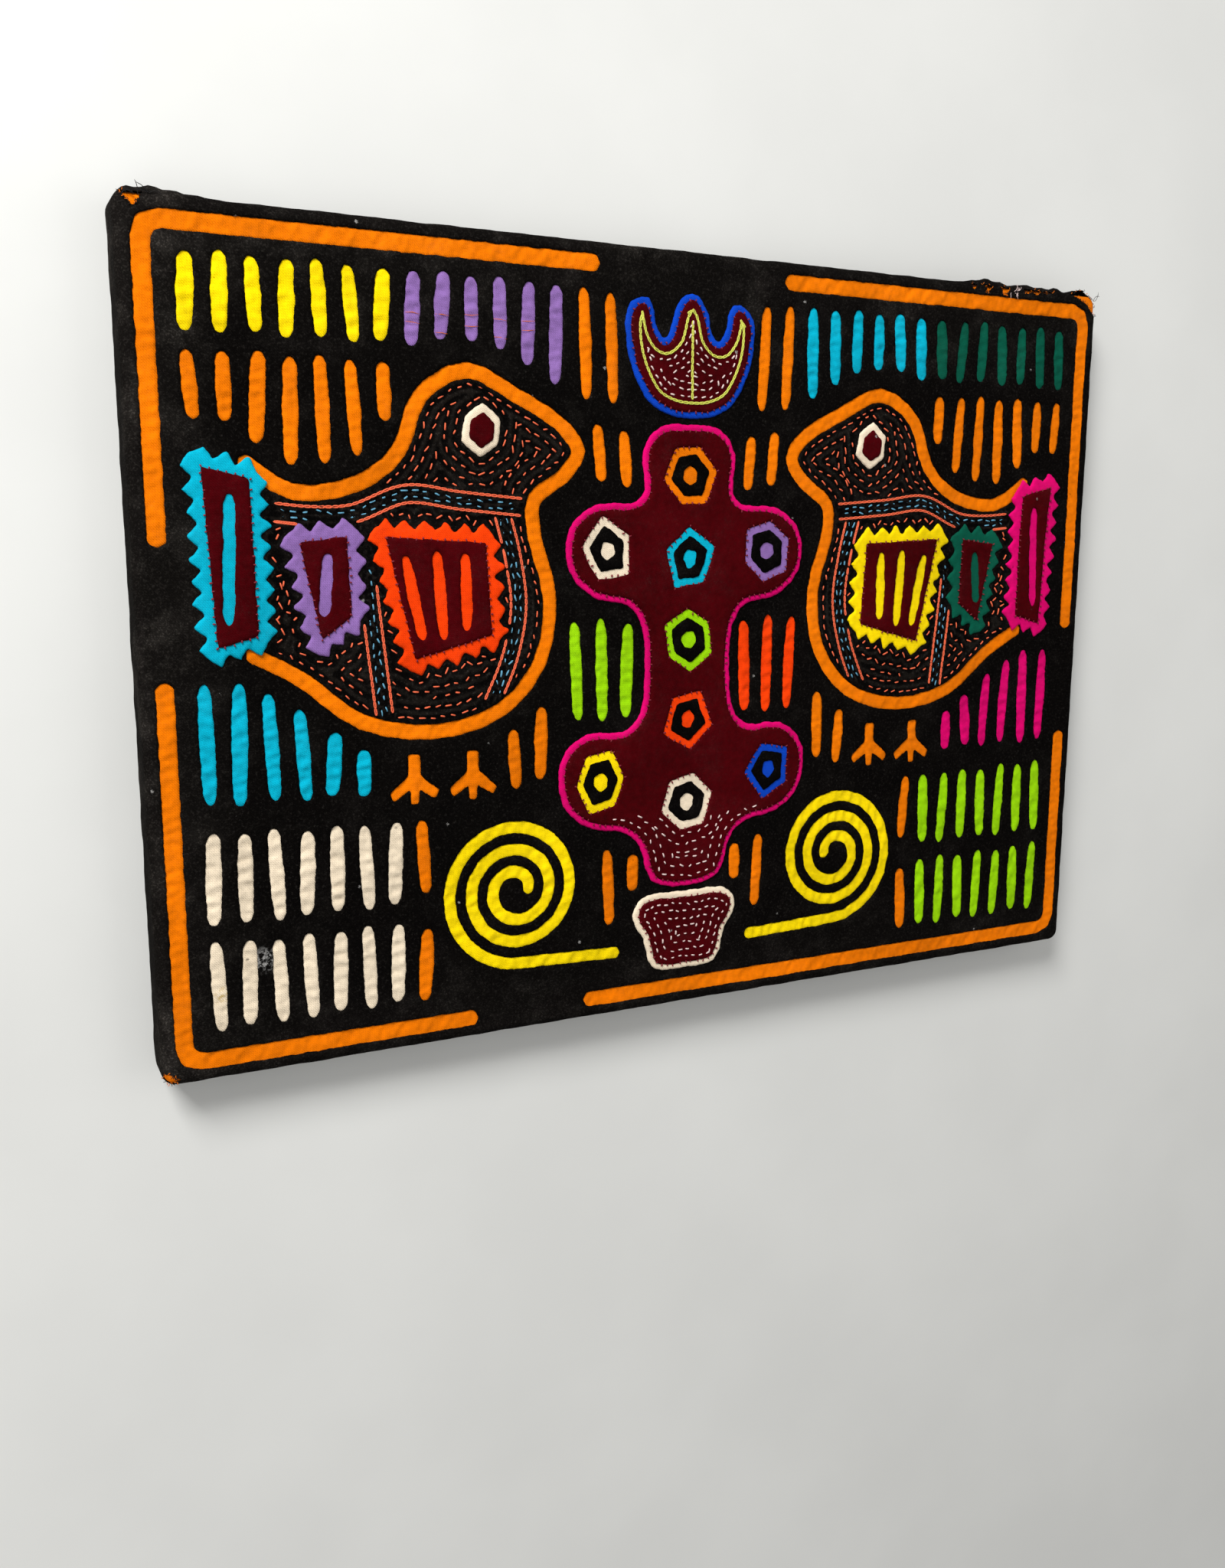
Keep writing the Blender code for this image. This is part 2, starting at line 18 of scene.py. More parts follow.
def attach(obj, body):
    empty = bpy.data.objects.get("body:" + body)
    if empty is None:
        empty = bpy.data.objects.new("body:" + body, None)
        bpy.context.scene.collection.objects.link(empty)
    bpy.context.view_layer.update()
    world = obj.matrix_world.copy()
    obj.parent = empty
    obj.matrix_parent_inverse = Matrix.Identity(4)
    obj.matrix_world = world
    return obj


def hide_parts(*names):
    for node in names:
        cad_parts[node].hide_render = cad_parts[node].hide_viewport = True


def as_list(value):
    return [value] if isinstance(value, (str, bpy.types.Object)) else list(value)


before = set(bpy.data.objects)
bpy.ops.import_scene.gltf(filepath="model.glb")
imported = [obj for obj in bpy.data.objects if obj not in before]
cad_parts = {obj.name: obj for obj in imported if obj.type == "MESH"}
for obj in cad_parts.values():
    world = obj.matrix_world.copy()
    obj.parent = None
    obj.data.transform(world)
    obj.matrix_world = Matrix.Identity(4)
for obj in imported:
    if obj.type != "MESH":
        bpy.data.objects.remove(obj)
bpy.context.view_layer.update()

bl_info = {
    "name": "Mola panel",
    "version": (1, 0, 0),
    "blender": (4, 5, 0),
    "location": "3D View > Sidebar > Mola",
    "description": "Sews the cloth, stitches and finishes of a mola panel on its frame",
    "category": "Add Mesh",
}

MM = 0.001
BODY = "root"

# Shape of a cut along its length: share of its half length, share of its half width.
SLIT_STATIONS = ((-1.0, 0.35), (-0.84, 0.84), (0.0, 1.0), (0.84, 0.84), (1.0, 0.35))

# Broken line near the edge, round one corner after another: x and y as shares of its half width and height.
BORDER_RUNS = (
    ((-0.20, 1.0), (-0.97, 1.0), (-0.992, 0.988), (-1.0, 0.957), (-1.0, 0.28)),
    ((-1.0, -0.06), (-1.0, -0.957), (-0.992, -0.988), (-0.97, -1.0), (-0.46, -1.0)),
    ((-0.22, -1.0), (0.97, -1.0), (0.992, -0.988), (1.0, -0.957), (1.0, -0.34)),
    ((1.0, 0.02), (1.0, 0.957), (0.992, 0.988), (0.97, 1.0), (0.22, 1.0)),
)
# Left bird: the line round its body. The right bird is its mirror image.
BIRD_BODY = (
    (-173, 67), (-156, 57), (-134, 60), (-118, 72), (-110, 91), (-92, 101), (-73, 93), (-56, 84), (-48, 74),
    (-55, 64), (-66, 56), (-66, 42), (-60, 20), (-64, -4), (-80, -22), (-106, -29), (-134, -24), (-155, -8),
    (-173, 2),
)
BIRD_LEGS = ((-115, -37), (-92, -37))
LEG_OUTLINE = (
    (-2.3, 0), (-2.3, -8), (-9.6, -14), (-8.0, -17.2), (-1.8, -13), (-1.5, -18.6), (1.5, -18.6), (1.8, -13),
    (8.0, -17.2), (9.6, -14), (2.3, -8), (2.3, 0),
)
BIRD_EYE = (-87, 80)

# Toothed pieces of the left bird: part, left colour, right colour, corners of the maroon face, clockwise.
TOOTHED_PIECES = (
    ("tail", "turquoise", "magenta", ((-187, 65), (-171, 61), (-170, 8), (-184, 4))),
    ("shoulder", "lilac", "teal", ((-155, 40), (-138, 42), (-137, 14), (-148, 6))),
    ("wing", "red_orange", "yellow", ((-124, 42), (-86, 40), (-84, 6), (-114, -2))),
)
# Cuts in the maroon faces of those pieces: part, x, y, length, lean.
FACE_CUTS = (
    ("tail", -179, 34, 44, 1),
    ("shoulder", -146, 25, 22, 1),
    ("wing", -114, 20, 30, -3),
    ("wing", -104, 21, 32, -1),
    ("wing", -94, 22, 28, 0),
)
# Right halves from top to bottom of what stands in the middle.
PLANT_HALF = (
    (0, 83), (12, 82), (18.5, 74), (17.5, 60), (24, 53), (40, 52), (50, 44), (50, 30), (40, 21), (26, 18),
    (18.5, 8), (17, -10), (19, -27), (28, -36), (44, -36), (54, -45), (53, -60), (43, -69), (28, -72),
    (19, -80), (14, -94), (0, -97),
)
FLOWER_HALF = (
    (0, 132), (5, 127), (7.5, 118), (12.5, 114.5), (17, 119), (20, 129), (26, 125), (25, 110), (18, 96),
    (9, 91), (0, 90),
)
POT_HALF = ((0, -104), (17, -104), (22, -110), (17, -119), (13, -131), (0, -132))
# Spots on the plant: x, y, colour, sides, turn in degrees.
SPOTS = (
    (0, 66, "orange", 6, 8),
    (0, 34, "turquoise", 5, 20),
    (0, 2, "lime", 6, 35),
    (0, -30, "red_orange", 5, -12),
    (0, -64, "cream", 6, 14),
    (-36, 37, "cream", 5, 30),
    (36, 37, "lilac", 6, 22),
    (-39, -53, "yellow", 6, 5),
    (39, -53, "blue", 5, 40),
)
# The plant's face is filled with stitches below this height.
PLANT_FOOT = -68
SPIRAL_CENTRE = (-75, -93)
SPIRAL_STALK = (-31, -124)
SPIRAL_EYE = 3.0
SPIRAL_TURNS = 3
SPIRAL_STEPS = 22
# Rows of cuts on the left side: block, left colour, right colour, first x, low and high end of each cut.
CUT_ROWS = (
    ("ground", "cream", "lime", -189, (
        (-93, -60), (-93, -61), (-94, -60), (-93, -62), (-93, -61), (-94, -62), (-93, -62))),
    ("ground", "cream", "lime", -189, (
        (-132, -99), (-131, -100), (-132, -101), (-132, -100), (-131, -101), (-132, -100), (-131, -101))),
    ("flank", "turquoise", "magenta", -189, (
        (-50, -8), (-51, -8), (-50, -12), (-51, -18), (-50, -27), (-51, -34))),
    ("sky", "yellow", "teal", -189, (
        (108, 133), (108, 134), (109, 133), (108, 133), (109, 134), (108, 133), (109, 133))),
    ("crest", "lilac", "turquoise", -112, (
        (108, 133), (111, 134), (111, 133), (109, 134), (104, 133), (98, 133))),
    ("waist", "lime", "red_orange", -49, (
        (-28, 10), (-29, 11), (-28, 9))),
    ("open_back", "orange", "orange", -189, (
        (80, 102), (80, 102), (73, 103), (66, 102), (67, 103), (70, 102), (82, 102))),
    ("open_beak", "orange", "orange", -45, ((93, 133), (92, 132))),
    ("open_bill", "orange", "orange", -39, ((63, 84), (61, 82))),
    ("open_side", "orange", "orange", -112, ((-132, -104),)),
    ("open_knee", "orange", "orange", -112, ((-90, -62),)),
    ("open_breast", "orange", "orange", -75, ((-53, -30), (-50, -22))),
    ("open_stalk", "orange", "orange", -35, ((-112, -81), (-99, -84))),
)
# Seams over the left bird's body, each between two lines of chain stitch, by the points of their middles.
SEAM_LINES = (
    ((-163, 50), (-150, 49), (-135, 50), (-116, 57), (-96, 55), (-72, 53)),
    ((-79, 50), (-75, 34), (-73, 16), (-77, -3), (-84, -19)),
    ((-131, 45), (-131, 30), (-129, 8), (-126, -21)),
)
# From the middle of a seam to its chain lines, and to the running stitches between these.
SEAM_HALF = 3.1
SEAM_THREADS = 1.1
# From an outline to the first row of stitches, clear space round a stitch, depth of the furrows.
FIRST_ROW = 2.4
STITCH_CLEAR = 3.3
QUILT_DEPTH = 0.34
# Tears in the folded edge of the black cloth, where the orange shows: the corners of each.
TEARS = (
    ((-207.9, 149.3), (-200.6, 149.4), (-202.4, 146.9), (-203.9, 145.0), (-205.3, 146.8)),
    ((-209.6, -144.6), (-207.4, -145.2), (-203.6, -147.6), (-206.5, -148.9), (-209.4, -149.6)),
    ((193.0, 149.4), (199.4, 147.4), (203.4, 145.4), (206.0, 142.4), (209.9, 140.4), (211.5, 151.5),
     (200.0, 151.5)),
    ((137.0, 149.2), (140.4, 149.2), (139.4, 147.6), (138.5, 146.6)),
    ((142.6, 149.3), (147.9, 149.2), (147.3, 147.6), (145.2, 145.9), (144.2, 146.1), (145.8, 147.8)),
    ((152.4, 149.1), (158.8, 149.2), (157.4, 147.2), (156.2, 145.8), (154.6, 146.0), (154.0, 147.9)),
    ((165.0, 149.3), (185.0, 149.2), (181.5, 148.5), (178.4, 148.0), (176.6, 148.6), (173.4, 147.2),
     (171.4, 148.4), (168.6, 147.4), (166.8, 148.3)),
)
TEAR_REACH = 2.5
TEAR_LOW = 14.9
# Lumps of folded cloth under the top edge: x, reach along x, how far they stand out.
EDGE_LUMPS = (
    (-205.0, 2.6, 1.2), (-198.0, 4.0, 2.2), (-190.5, 3.4, 1.3), (-184.0, 2.5, 0.6), (139.0, 3.5, 1.0),
    (146.5, 4.5, 2.3), (154.5, 3.4, 1.6), (163.0, 3.0, 0.9), (169.5, 4.2, 1.7), (178.0, 3.6, 1.2),
    (186.0, 3.0, 1.6), (197.0, 3.4, 1.4), (202.0, 2.4, 2.0),
)

# Stains: cotton, place and reach in metres, colour. One is rubbed white, one is yellow and one is dark.
STAINS = (
    ("black", (-0.1722, -0.1075, 0.0176), 0.0062, (0.42, 0.41, 0.39)),
    ("cream", (-0.1878, -0.1190, 0.0170), 0.0045, (0.62, 0.45, 0.19)),
    ("cream", (-0.1786, -0.1070, 0.0170), 0.0010, (0.06, 0.05, 0.04)),
)

# How a hemmed edge rolls over: distance into the cloth, height over the flat of the cloth.
ROLL_AT = (0.0, 0.45, 0.9, 1.5, 2.6, 4.2)
ROLL_HEIGHT = (-0.42, 0.06, 0.17, 0.15, 0.05, 0.0)
# What is turned under an edge: distance into the cloth, height under the edge, place in the weave.
TURNED_UNDER = ((0.10, -0.30, 0.4), (0.75, -0.44, 0.8))
# Rings of points beside the edges of a cloth: distance from the edge, and which of its points they take.
RING_STEPS = ((0.45, 1), (1.4, 2))
# How far a hem stitch nips an edge in, and the pointed end of a line, as a share of its width.
HEM_BITE = 0.2
LINE_TIP = 0.3
# Cloth that is turned under in all across an applied piece, in metres.
TURNED_CLOTH = 0.0015
# Least share of its flat rectangle that a cloth is said to fill.
LEAST_SHARE = 0.31
# Waves that are added up for an uneven surface, and close steps along an outline.
WAVE_COUNT = 9
CLOSE_STEP = 0.6
# What a spot's coloured band is trimmed by all round.
BAND_TRIM = 0.4
# Chain stitch: points of a link, and its half width and its thread, as shares of a link and of the thread.
CHAIN_POINTS = 9
CHAIN_HALF = 0.145
CHAIN_THREAD = 0.40
# A running stitch along its length: share of its half length, height.
STITCH_ARCH = ((-1.0, -0.22), (-0.72, 0.12), (0.0, 0.24), (0.72, 0.12), (1.0, -0.22))
# Seeds of what is irregular.
SWELL_SEED, SMALL_SWELL_SEED, BIRD_WRINKLE_SEED, PLANT_WRINKLE_SEED = 11, 12, 14, 15
CREASE_SEED, LIFT_SEED = 31, 32
BORDER_SEED, LEFT_SEED, RIGHT_SEED = 100, 200, 400
BLACK_SEED, BIRD_SEED, PLANT_SEED, LOOSE_SEED = 5, 71, 72, 73


def length(name, description, millimetres):
    """A size that a user may change."""
    return bpy.props.FloatProperty(
        name=name, description=description, default=millimetres * MM, min=0.0, precision=5,
        unit="LENGTH", subtype="DISTANCE")


def dye(name, description, red, green, blue):
    """A colour that a user may change, given from 0 to 255 as it looks."""
    return bpy.props.FloatVectorProperty(
        name=name, description=description, default=[linear(part / 255) for part in (red, green, blue)],
        min=0.0, max=1.0, size=3, subtype="COLOR")


def linear(part):
    """A part of a colour, given from 0 to 1 as it looks, as the value that a shader takes."""
    return part / 12.92 if part <= 0.04045 else ((part + 0.055) / 1.055) ** 2.4


class MolaSizes(bpy.types.PropertyGroup):
    """Sizes of the panel and of its needlework."""

    panel_width: length("Panel width", "Outer width of the stretched panel", 420.0)
    panel_height: length("Panel height", "Outer height of the stretched panel", 300.0)
    corner_radius: length("Corner radius", "Rounding of the panel's corners seen from the front", 5.0)
    fold_radius: length("Front fold", "Radius of the fold between the face and the sides", 3.5)
    back_fold_radius: length("Back fold", "Radius of the fold between the sides and the hem", 1.5)
    hem_width: length("Hem width", "Cloth folded over the back of the frame", 22.0)
    border_line: length("Border line", "Width of the broken line near the edge", 6.0)
    border_inset: length("Border inset", "Distance of that line from the panel's side", 8.0)
    bird_line: length("Bird line", "Width of the line round the birds", 5.5)
    spiral_line: length("Spiral line", "Width of the line of the spirals", 4.6)
    spiral_pitch: length("Spiral pitch", "Distance between the turns of a spiral", 8.8)
    slit_width: length("Slit width", "Width of the cuts in rows", 5.4)
    slit_pitch: length("Slit pitch", "Distance between the cuts in a row", 11.0)
    slit_lean: length("Slit lean", "Most that a cut's end leans to one side", 0.9)
    patch_margin: length("Patch margin", "Cloth of a patch beyond its cuts", 3.4)
    rim_width: length("Rim width", "Coloured rim round the plant, flower and pot", 2.4)
    tooth_base: length("Tooth base", "Coloured cloth between a face and its teeth", 3.0)
    tooth_depth: length("Tooth depth", "Depth of the teeth", 3.8)
    tooth_pitch: length("Tooth pitch", "Distance between the teeth", 7.4)
    ring_radius: length("Ring radius", "Radius of a spot on the plant", 12.0)
    ring_band: length("Ring band", "Width of a spot's coloured band", 3.2)
    ring_tuck: length("Ring tuck", "Cloth of a spot's band under the plant's face", 1.8)
    dot_radius: length("Dot radius", "Radius of the hole in the middle of a spot", 3.6)
    eye_radius: length("Eye radius", "Radius of a bird's eye", 9.0)
    eye_band: length("Eye band", "Width of the rim of a bird's eye", 3.0)
    face_cut_width: length("Face cut width", "Width of the cuts in the maroon faces", 4.4)
    stitch_length: length("Stitch length", "Length of a running stitch", 2.6)
    stitch_pitch: length("Stitch pitch", "Distance between running stitches in a row", 4.1)
    row_pitch: length("Row pitch", "Distance between rows of running stitches", 3.8)
    hem_stitch_pitch: length("Hem stitch pitch", "Distance between the stitches that hold an edge down", 2.8)
    chain_link: length("Chain link", "Length of a link of chain stitch", 2.9)
    thread_width: length("Thread width", "Width of the sewing thread", 0.64)
    weave_pitch: length("Weave pitch", "Distance between the threads of the cotton", 0.46)


class MolaDyes(bpy.types.PropertyGroup):
    """Colours of the cotton, the thread, the bars and the floor."""

    black: dye("Black", "Top cloth", 4, 3, 3)
    orange: dye("Orange", "Cloth that shows in the lines", 240, 120, 1)
    maroon: dye("Maroon", "Faces of the applied pieces", 68, 2, 7)
    magenta: dye("Magenta", "Rim of the plant and some patches", 220, 4, 106)
    red_orange: dye("Red orange", "Wing and some patches", 246, 64, 5)
    turquoise: dye("Turquoise", "Tail and some patches", 4, 172, 200)
    lime: dye("Lime", "Patches under the right ground", 154, 216, 8)
    yellow: dye("Yellow", "Spirals and some patches", 254, 221, 4)
    teal: dye("Teal", "Shoulder and some patches", 6, 86, 66)
    lilac: dye("Lilac", "Shoulder and some patches", 142, 106, 172)
    cream: dye("Cream", "Patches under the left ground", 240, 222, 194)
    blue: dye("Blue", "Rim of the flower", 10, 66, 186)
    salmon: dye("Salmon thread", "Stitches on the birds", 250, 112, 72)
    pale_blue: dye("Pale blue thread", "Stitches between the chain lines", 104, 170, 200)
    rose_white: dye("Rose white thread", "Stitches on maroon cloth", 240, 214, 208)
    wine: dye("Wine thread", "Stitches that hold the maroon edges down", 132, 34, 48)
    leaf_yellow: dye("Leaf yellow thread", "Chain stitch on the flower", 222, 226, 96)
    pine: dye("Pine", "Bars of the frame", 206, 168, 118)
    floor: dye("Floor", "Pale surface under the panel", 226, 226, 222)


def mm(name):
    """A size in millimetres."""
    return getattr(bpy.context.scene.mola_sizes, name) / MM


# Outlines, as cut.


def mirrored(points):
    """The outline on the other side of the panel, still running the same way round."""
    return [(-x, y) for x, y in reversed(points)]


def whole(half):
    """A full anticlockwise outline from its right half, given from top to bottom."""
    left = [(-x, y) for x, y in half[1:-1]]
    return smooth([*left, *reversed(half)], 3, closed=True)


def smooth(points, steps, closed=False):
    """A curve through points, with so many steps for each span."""
    ends = [points[-1], *points, *points[:2]] if closed else [points[0], *points, points[-1]]
    curve = [between(ends[i - 1:i + 3], k / steps) for i in range(1, len(ends) - 2) for k in range(steps)]
    return curve if closed else curve + [points[-1]]


def between(four, t):
    """A point of the curve between the middle two of four points."""
    return tuple(
        0.5 * (2 * b + (c - a) * t + (2 * a - 5 * b + 4 * c - d) * t * t + (3 * b - a - 3 * c + d) * t ** 3)
        for a, b, c, d in zip(*four))


def normals(points, closed):
    """The mitred direction to the right of the run at each point."""
    count = len(points)
    result = []
    for i, (x, y) in enumerate(points):
        before = points[i - 1] if i or closed else points[i]
        after = points[(i + 1) % count] if i + 1 < count or closed else points[i]
        sides = []
        for (ax, ay), (bx, by) in ((before, (x, y)), ((x, y), after)):
            span = hypot(bx - ax, by - ay)
            if span > 1e-9:
                sides.append(((by - ay) / span, (ax - bx) / span))
        nx = sum(side[0] for side in sides) / len(sides)
        ny = sum(side[1] for side in sides) / len(sides)
        square = nx * nx + ny * ny
        result.append((nx / square, ny / square))
    return result


def moved(points, ways, distance):
    """Points moved a distance along their own directions."""
    return [(x + nx * distance, y + ny * distance) for (x, y), (nx, ny) in zip(points, ways)]


def grown(outline, distance):
    """An anticlockwise outline moved outwards by a distance."""
    return moved(outline, normals(outline, True), distance)


def line_cut(points, width):
    """The outline of a line of even width with blunt, slightly rounded ends."""
    sides, tip = normals(points, False), width * LINE_TIP
    right, left = moved(points, sides, width / 2), moved(points, sides, -width / 2)
    tips = []
    for (ax, ay), (bx, by) in (points[-2:], points[1::-1]):
        span = hypot(bx - ax, by - ay)
        tips.append((bx + (bx - ax) / span * tip, by + (by - ay) / span * tip))
    return right + [tips[0]] + left[::-1] + [tips[1]]


def slit(x, low, high, width, lean=0.0):
    """A long narrow cut with blunt ends."""
    middle, half = (low + high) / 2, (high - low) / 2
    right, left = (
        [(x + side * share * width / 2 + lean * at, middle + at * half) for at, share in SLIT_STATIONS]
        for side in (1, -1))
    return right + left[::-1]


def spot(x, y, radius, sides, turn):
    """A hand-cut polygon, a little longer than it is wide."""
    points = []
    for k in range(sides):
        angle = radians(turn) + 2 * pi * k / sides
        reach = radius * (1.0 + 0.08 * sin(2.3 * k + turn))
        points.append((x + 0.94 * reach * cos(angle), y + 1.06 * reach * sin(angle)))
    return points


def eye(x, band=0.0):
    """The outline of a bird's eye at x, or of its face within a band."""
    return spot(x, BIRD_EYE[1], mm("eye_radius") - band, 6, 25)


def toothed(corners):
    """The zigzag outline round a face with these corners, given clockwise."""
    base = grown(corners[::-1], mm("tooth_base"))
    points = []
    for i, (ax, ay) in enumerate(base):
        bx, by = base[(i + 1) % len(base)]
        span = hypot(bx - ax, by - ay)
        count = max(2, round(span / mm("tooth_pitch")))
        for k in range(count):
            depth = mm("tooth_depth") * (1 + 0.1 * sin(4.1 * k + i))
            out_x, out_y = (by - ay) / span * depth, (ax - bx) / span * depth
            start, peak = k / count, (k + 0.5) / count
            points.append((ax + (bx - ax) * start, ay + (by - ay) * start))
            points.append((ax + (bx - ax) * peak + out_x, ay + (by - ay) * peak + out_y))
    return points


def spiral_line():
    """The left spiral from its middle out, then along to the foot of the plant."""
    cx, cy = SPIRAL_CENTRE
    last = SPIRAL_TURNS * SPIRAL_STEPS
    points = []
    for k in range(SPIRAL_STEPS // 4, last + 1):
        angle = -pi / 2 - 2 * pi * (last - k) / SPIRAL_STEPS
        radius = mm("spiral_pitch") * k / SPIRAL_STEPS + SPIRAL_EYE
        points.append((cx + radius * cos(angle), cy + radius * sin(angle)))
    return points + [SPIRAL_STALK]


def border_cuts():
    """The cuts of the broken line near the edge."""
    half_w = mm("panel_width") / 2 - mm("border_inset")
    half_h = mm("panel_height") / 2 - mm("border_inset")
    return [line_cut([(x * half_w, y * half_h) for x, y in run], mm("border_line")) for run in BORDER_RUNS]


def cuts_of(block):
    """The cuts of a block on the left side: number in its row, first x of the row, x, low and high end."""
    for name, _, _, first_x, spans in CUT_ROWS:
        if name == block:
            for k, (low, high) in enumerate(spans):
                yield k, first_x, first_x + mm("slit_pitch") * k, low, high


def row_cuts(block):
    """The outlines of those cuts, each leaning a little its own way as hand-made ones do."""
    cuts = []
    for k, first_x, x, low, high in cuts_of(block):
        sway = sin(2.1 * k + first_x + low)
        cuts.append(slit(x, low, high, mm("slit_width") * (1 + 0.07 * sway), mm("slit_lean") * sway))
    return cuts


def blocks():
    """Each block of cuts once, with its colour on the left and on the right."""
    return list(dict.fromkeys(row[:3] for row in CUT_ROWS))


def left_cuts():
    """Every cut through the left half of the top cloth, the border aside."""
    lines = ((smooth(BIRD_BODY, 3), "bird_line"), (smooth(spiral_line(), 2), "spiral_line"))
    cuts = [line_cut(line, mm(width)) for line, width in lines]
    cuts += [[(x + dx, y + dy) for dx, dy in LEG_OUTLINE] for x, y in BIRD_LEGS]
    for block, _, _ in blocks():
        cuts += row_cuts(block)
    return cuts


def patch_outline(block):
    """The piece of cloth under a block, anticlockwise: it follows the ends of the cuts at a margin."""
    columns = {}
    for _, _, x, low, high in cuts_of(block):
        before = columns.get(x, (low, high))
        columns[x] = (min(low, before[0]), max(high, before[1]))
    xs = sorted(columns)
    xs_out = [xs[0] - mm("slit_width"), *xs[1:-1], xs[-1] + mm("slit_width")]
    low_side = [(x, columns[at][0] - mm("patch_margin")) for x, at in zip(xs_out, xs)]
    high_side = [(x, columns[at][1] + mm("patch_margin")) for x, at in zip(xs_out, xs)]
    return low_side + high_side[::-1]


def spiral_patch():
    """The round piece of cloth under a spiral, with a tongue under its stalk."""
    cx, cy = SPIRAL_CENTRE
    side = mm("spiral_line") / 2 + mm("patch_margin")
    reach = mm("spiral_pitch") * SPIRAL_TURNS + SPIRAL_EYE + side
    end_x, end_y = SPIRAL_STALK
    points = [(end_x + side, end_y - side), (end_x + side, end_y + side), (cx + reach * 0.86, end_y + side)]
    for k in range(3, 16):
        angle = -pi / 2 + 2 * pi * k / 16
        points.append((cx + reach * cos(angle), cy + reach * sin(angle)))
    return points + [(cx, cy - reach)]


# Cloth, as sewn.


def run_along(line):
    """How far along a line each of its points lies."""
    return np.concatenate([[0.0], np.cumsum(np.hypot(*np.diff(line, axis=0).T))])


def closed_up(loop):
    """A loop with its first point again at its end."""
    return np.vstack([loop, loop[:1]])


def stepped(points, step, closed=True):
    """Points spread evenly along a line, and how far along it each lies."""
    line = np.asarray(points, float)
    if closed:
        line = closed_up(line)
    along = run_along(line)
    count = max(8, round(along[-1] / step))
    at = np.linspace(0.0, along[-1], count, endpoint=not closed)
    return np.column_stack([np.interp(at, along, line[:, axis]) for axis in (0, 1)]), at


def right_of(loop):
    """The unit direction to the right of the run at each point of a loop: out of an anticlockwise one."""
    run = np.roll(loop, -1, axis=0) - np.roll(loop, 1, axis=0)
    run /= np.maximum(np.hypot(run[:, 0], run[:, 1]), 1e-9)[:, None]
    return np.column_stack([run[:, 1], -run[:, 0]])


def encloses(loop, points):
    """Which points lie inside a closed loop."""
    result = np.zeros(len(points), bool)
    near = np.flatnonzero(((points > loop.min(0)) & (points < loop.max(0))).all(axis=1))
    if len(near):
        x, y = points[near].T
        found = np.zeros(len(near), bool)
        for (ax, ay), (bx, by) in zip(loop, np.roll(loop, -1, axis=0)):
            if ay != by:
                crossed = ((ay > y) != (by > y)) & (x < (bx - ax) * (y - ay) / (by - ay) + ax)
                found ^= crossed
        result[near] = found
    return result


def tree_of(points):
    """A search tree of points on the face."""
    tree = kdtree.KDTree(len(points))
    for k, (x, y) in enumerate(points):
        tree.insert((x, y, 0.0), k)
    tree.balance()
    return tree


def nearest(tree, points):
    """The index of and the distance to the nearest point of a tree, for each point."""
    found = [tree.find((x, y, 0.0)) for x, y in points]
    return np.array([f[1] for f in found], int), np.array([f[2] for f in found])


def waves(x, y, seed, shortest, longest):
    """Seeded soft waves over the face, about -1 to 1."""
    rng = np.random.default_rng(seed)
    total = np.zeros_like(x, float)
    for _ in range(WAVE_COUNT):
        turn, phase = rng.uniform(0, 2 * pi, 2)
        size = rng.uniform(shortest, longest)
        total += np.sin(2 * pi * (x * cos(turn) + y * sin(turn)) / size + phase)
    return total / WAVE_COUNT ** 0.5 * 0.8


def swell(x, y):
    """How the whole stack of cloth rises and falls over the frame."""
    return 0.22 * waves(x, y, SWELL_SEED, 28, 90) + 0.08 * waves(x, y, SMALL_SWELL_SEED, 8, 18)


class Edge:
    """A hemmed edge of a cloth: a little off its line as a hand cuts it, and nipped in at each hem stitch."""

    def __init__(self, points, step, seed, is_cut, wander=0.12):
        loop, along = stepped(points, step)
        x, y = loop.T
        if (np.roll(y, -1) * x - np.roll(x, -1) * y).sum() < 0:
            loop = loop[::-1]
        loop = (np.roll(loop, 1, axis=0) + 2 * loop + np.roll(loop, -1, axis=0)) / 4
        rng = np.random.default_rng(seed)
        total = along[-1] + along[1]
        drift = np.zeros(len(loop))
        for _ in range(7):
            harmonic = rng.integers(2, max(4, int(total / 6)))
            drift += np.sin(2 * pi * harmonic * along / total + rng.uniform(0, 2 * pi))
        stitches = max(4, round(total / mm("hem_stitch_pitch")))
        turn = pi * stitches * along / total + rng.uniform(0, pi)
        nip = 1 - np.abs(np.sin(turn)) ** 0.7
        out = right_of(loop)
        self.into = out if is_cut else -out
        self.loop = loop + self.into * (HEM_BITE * nip + wander * drift / 2.6)[:, None]
        self.pucker = 2 * turn


def ties_round(edges):
    """The pairs of neighbours along edges whose points follow each other."""
    ties, start = [], 0
    for edge in edges:
        count = len(edge.loop)
        ties += [(start + k, start + (k + 1) % count) for k in range(count)]
        start += count
    return ties


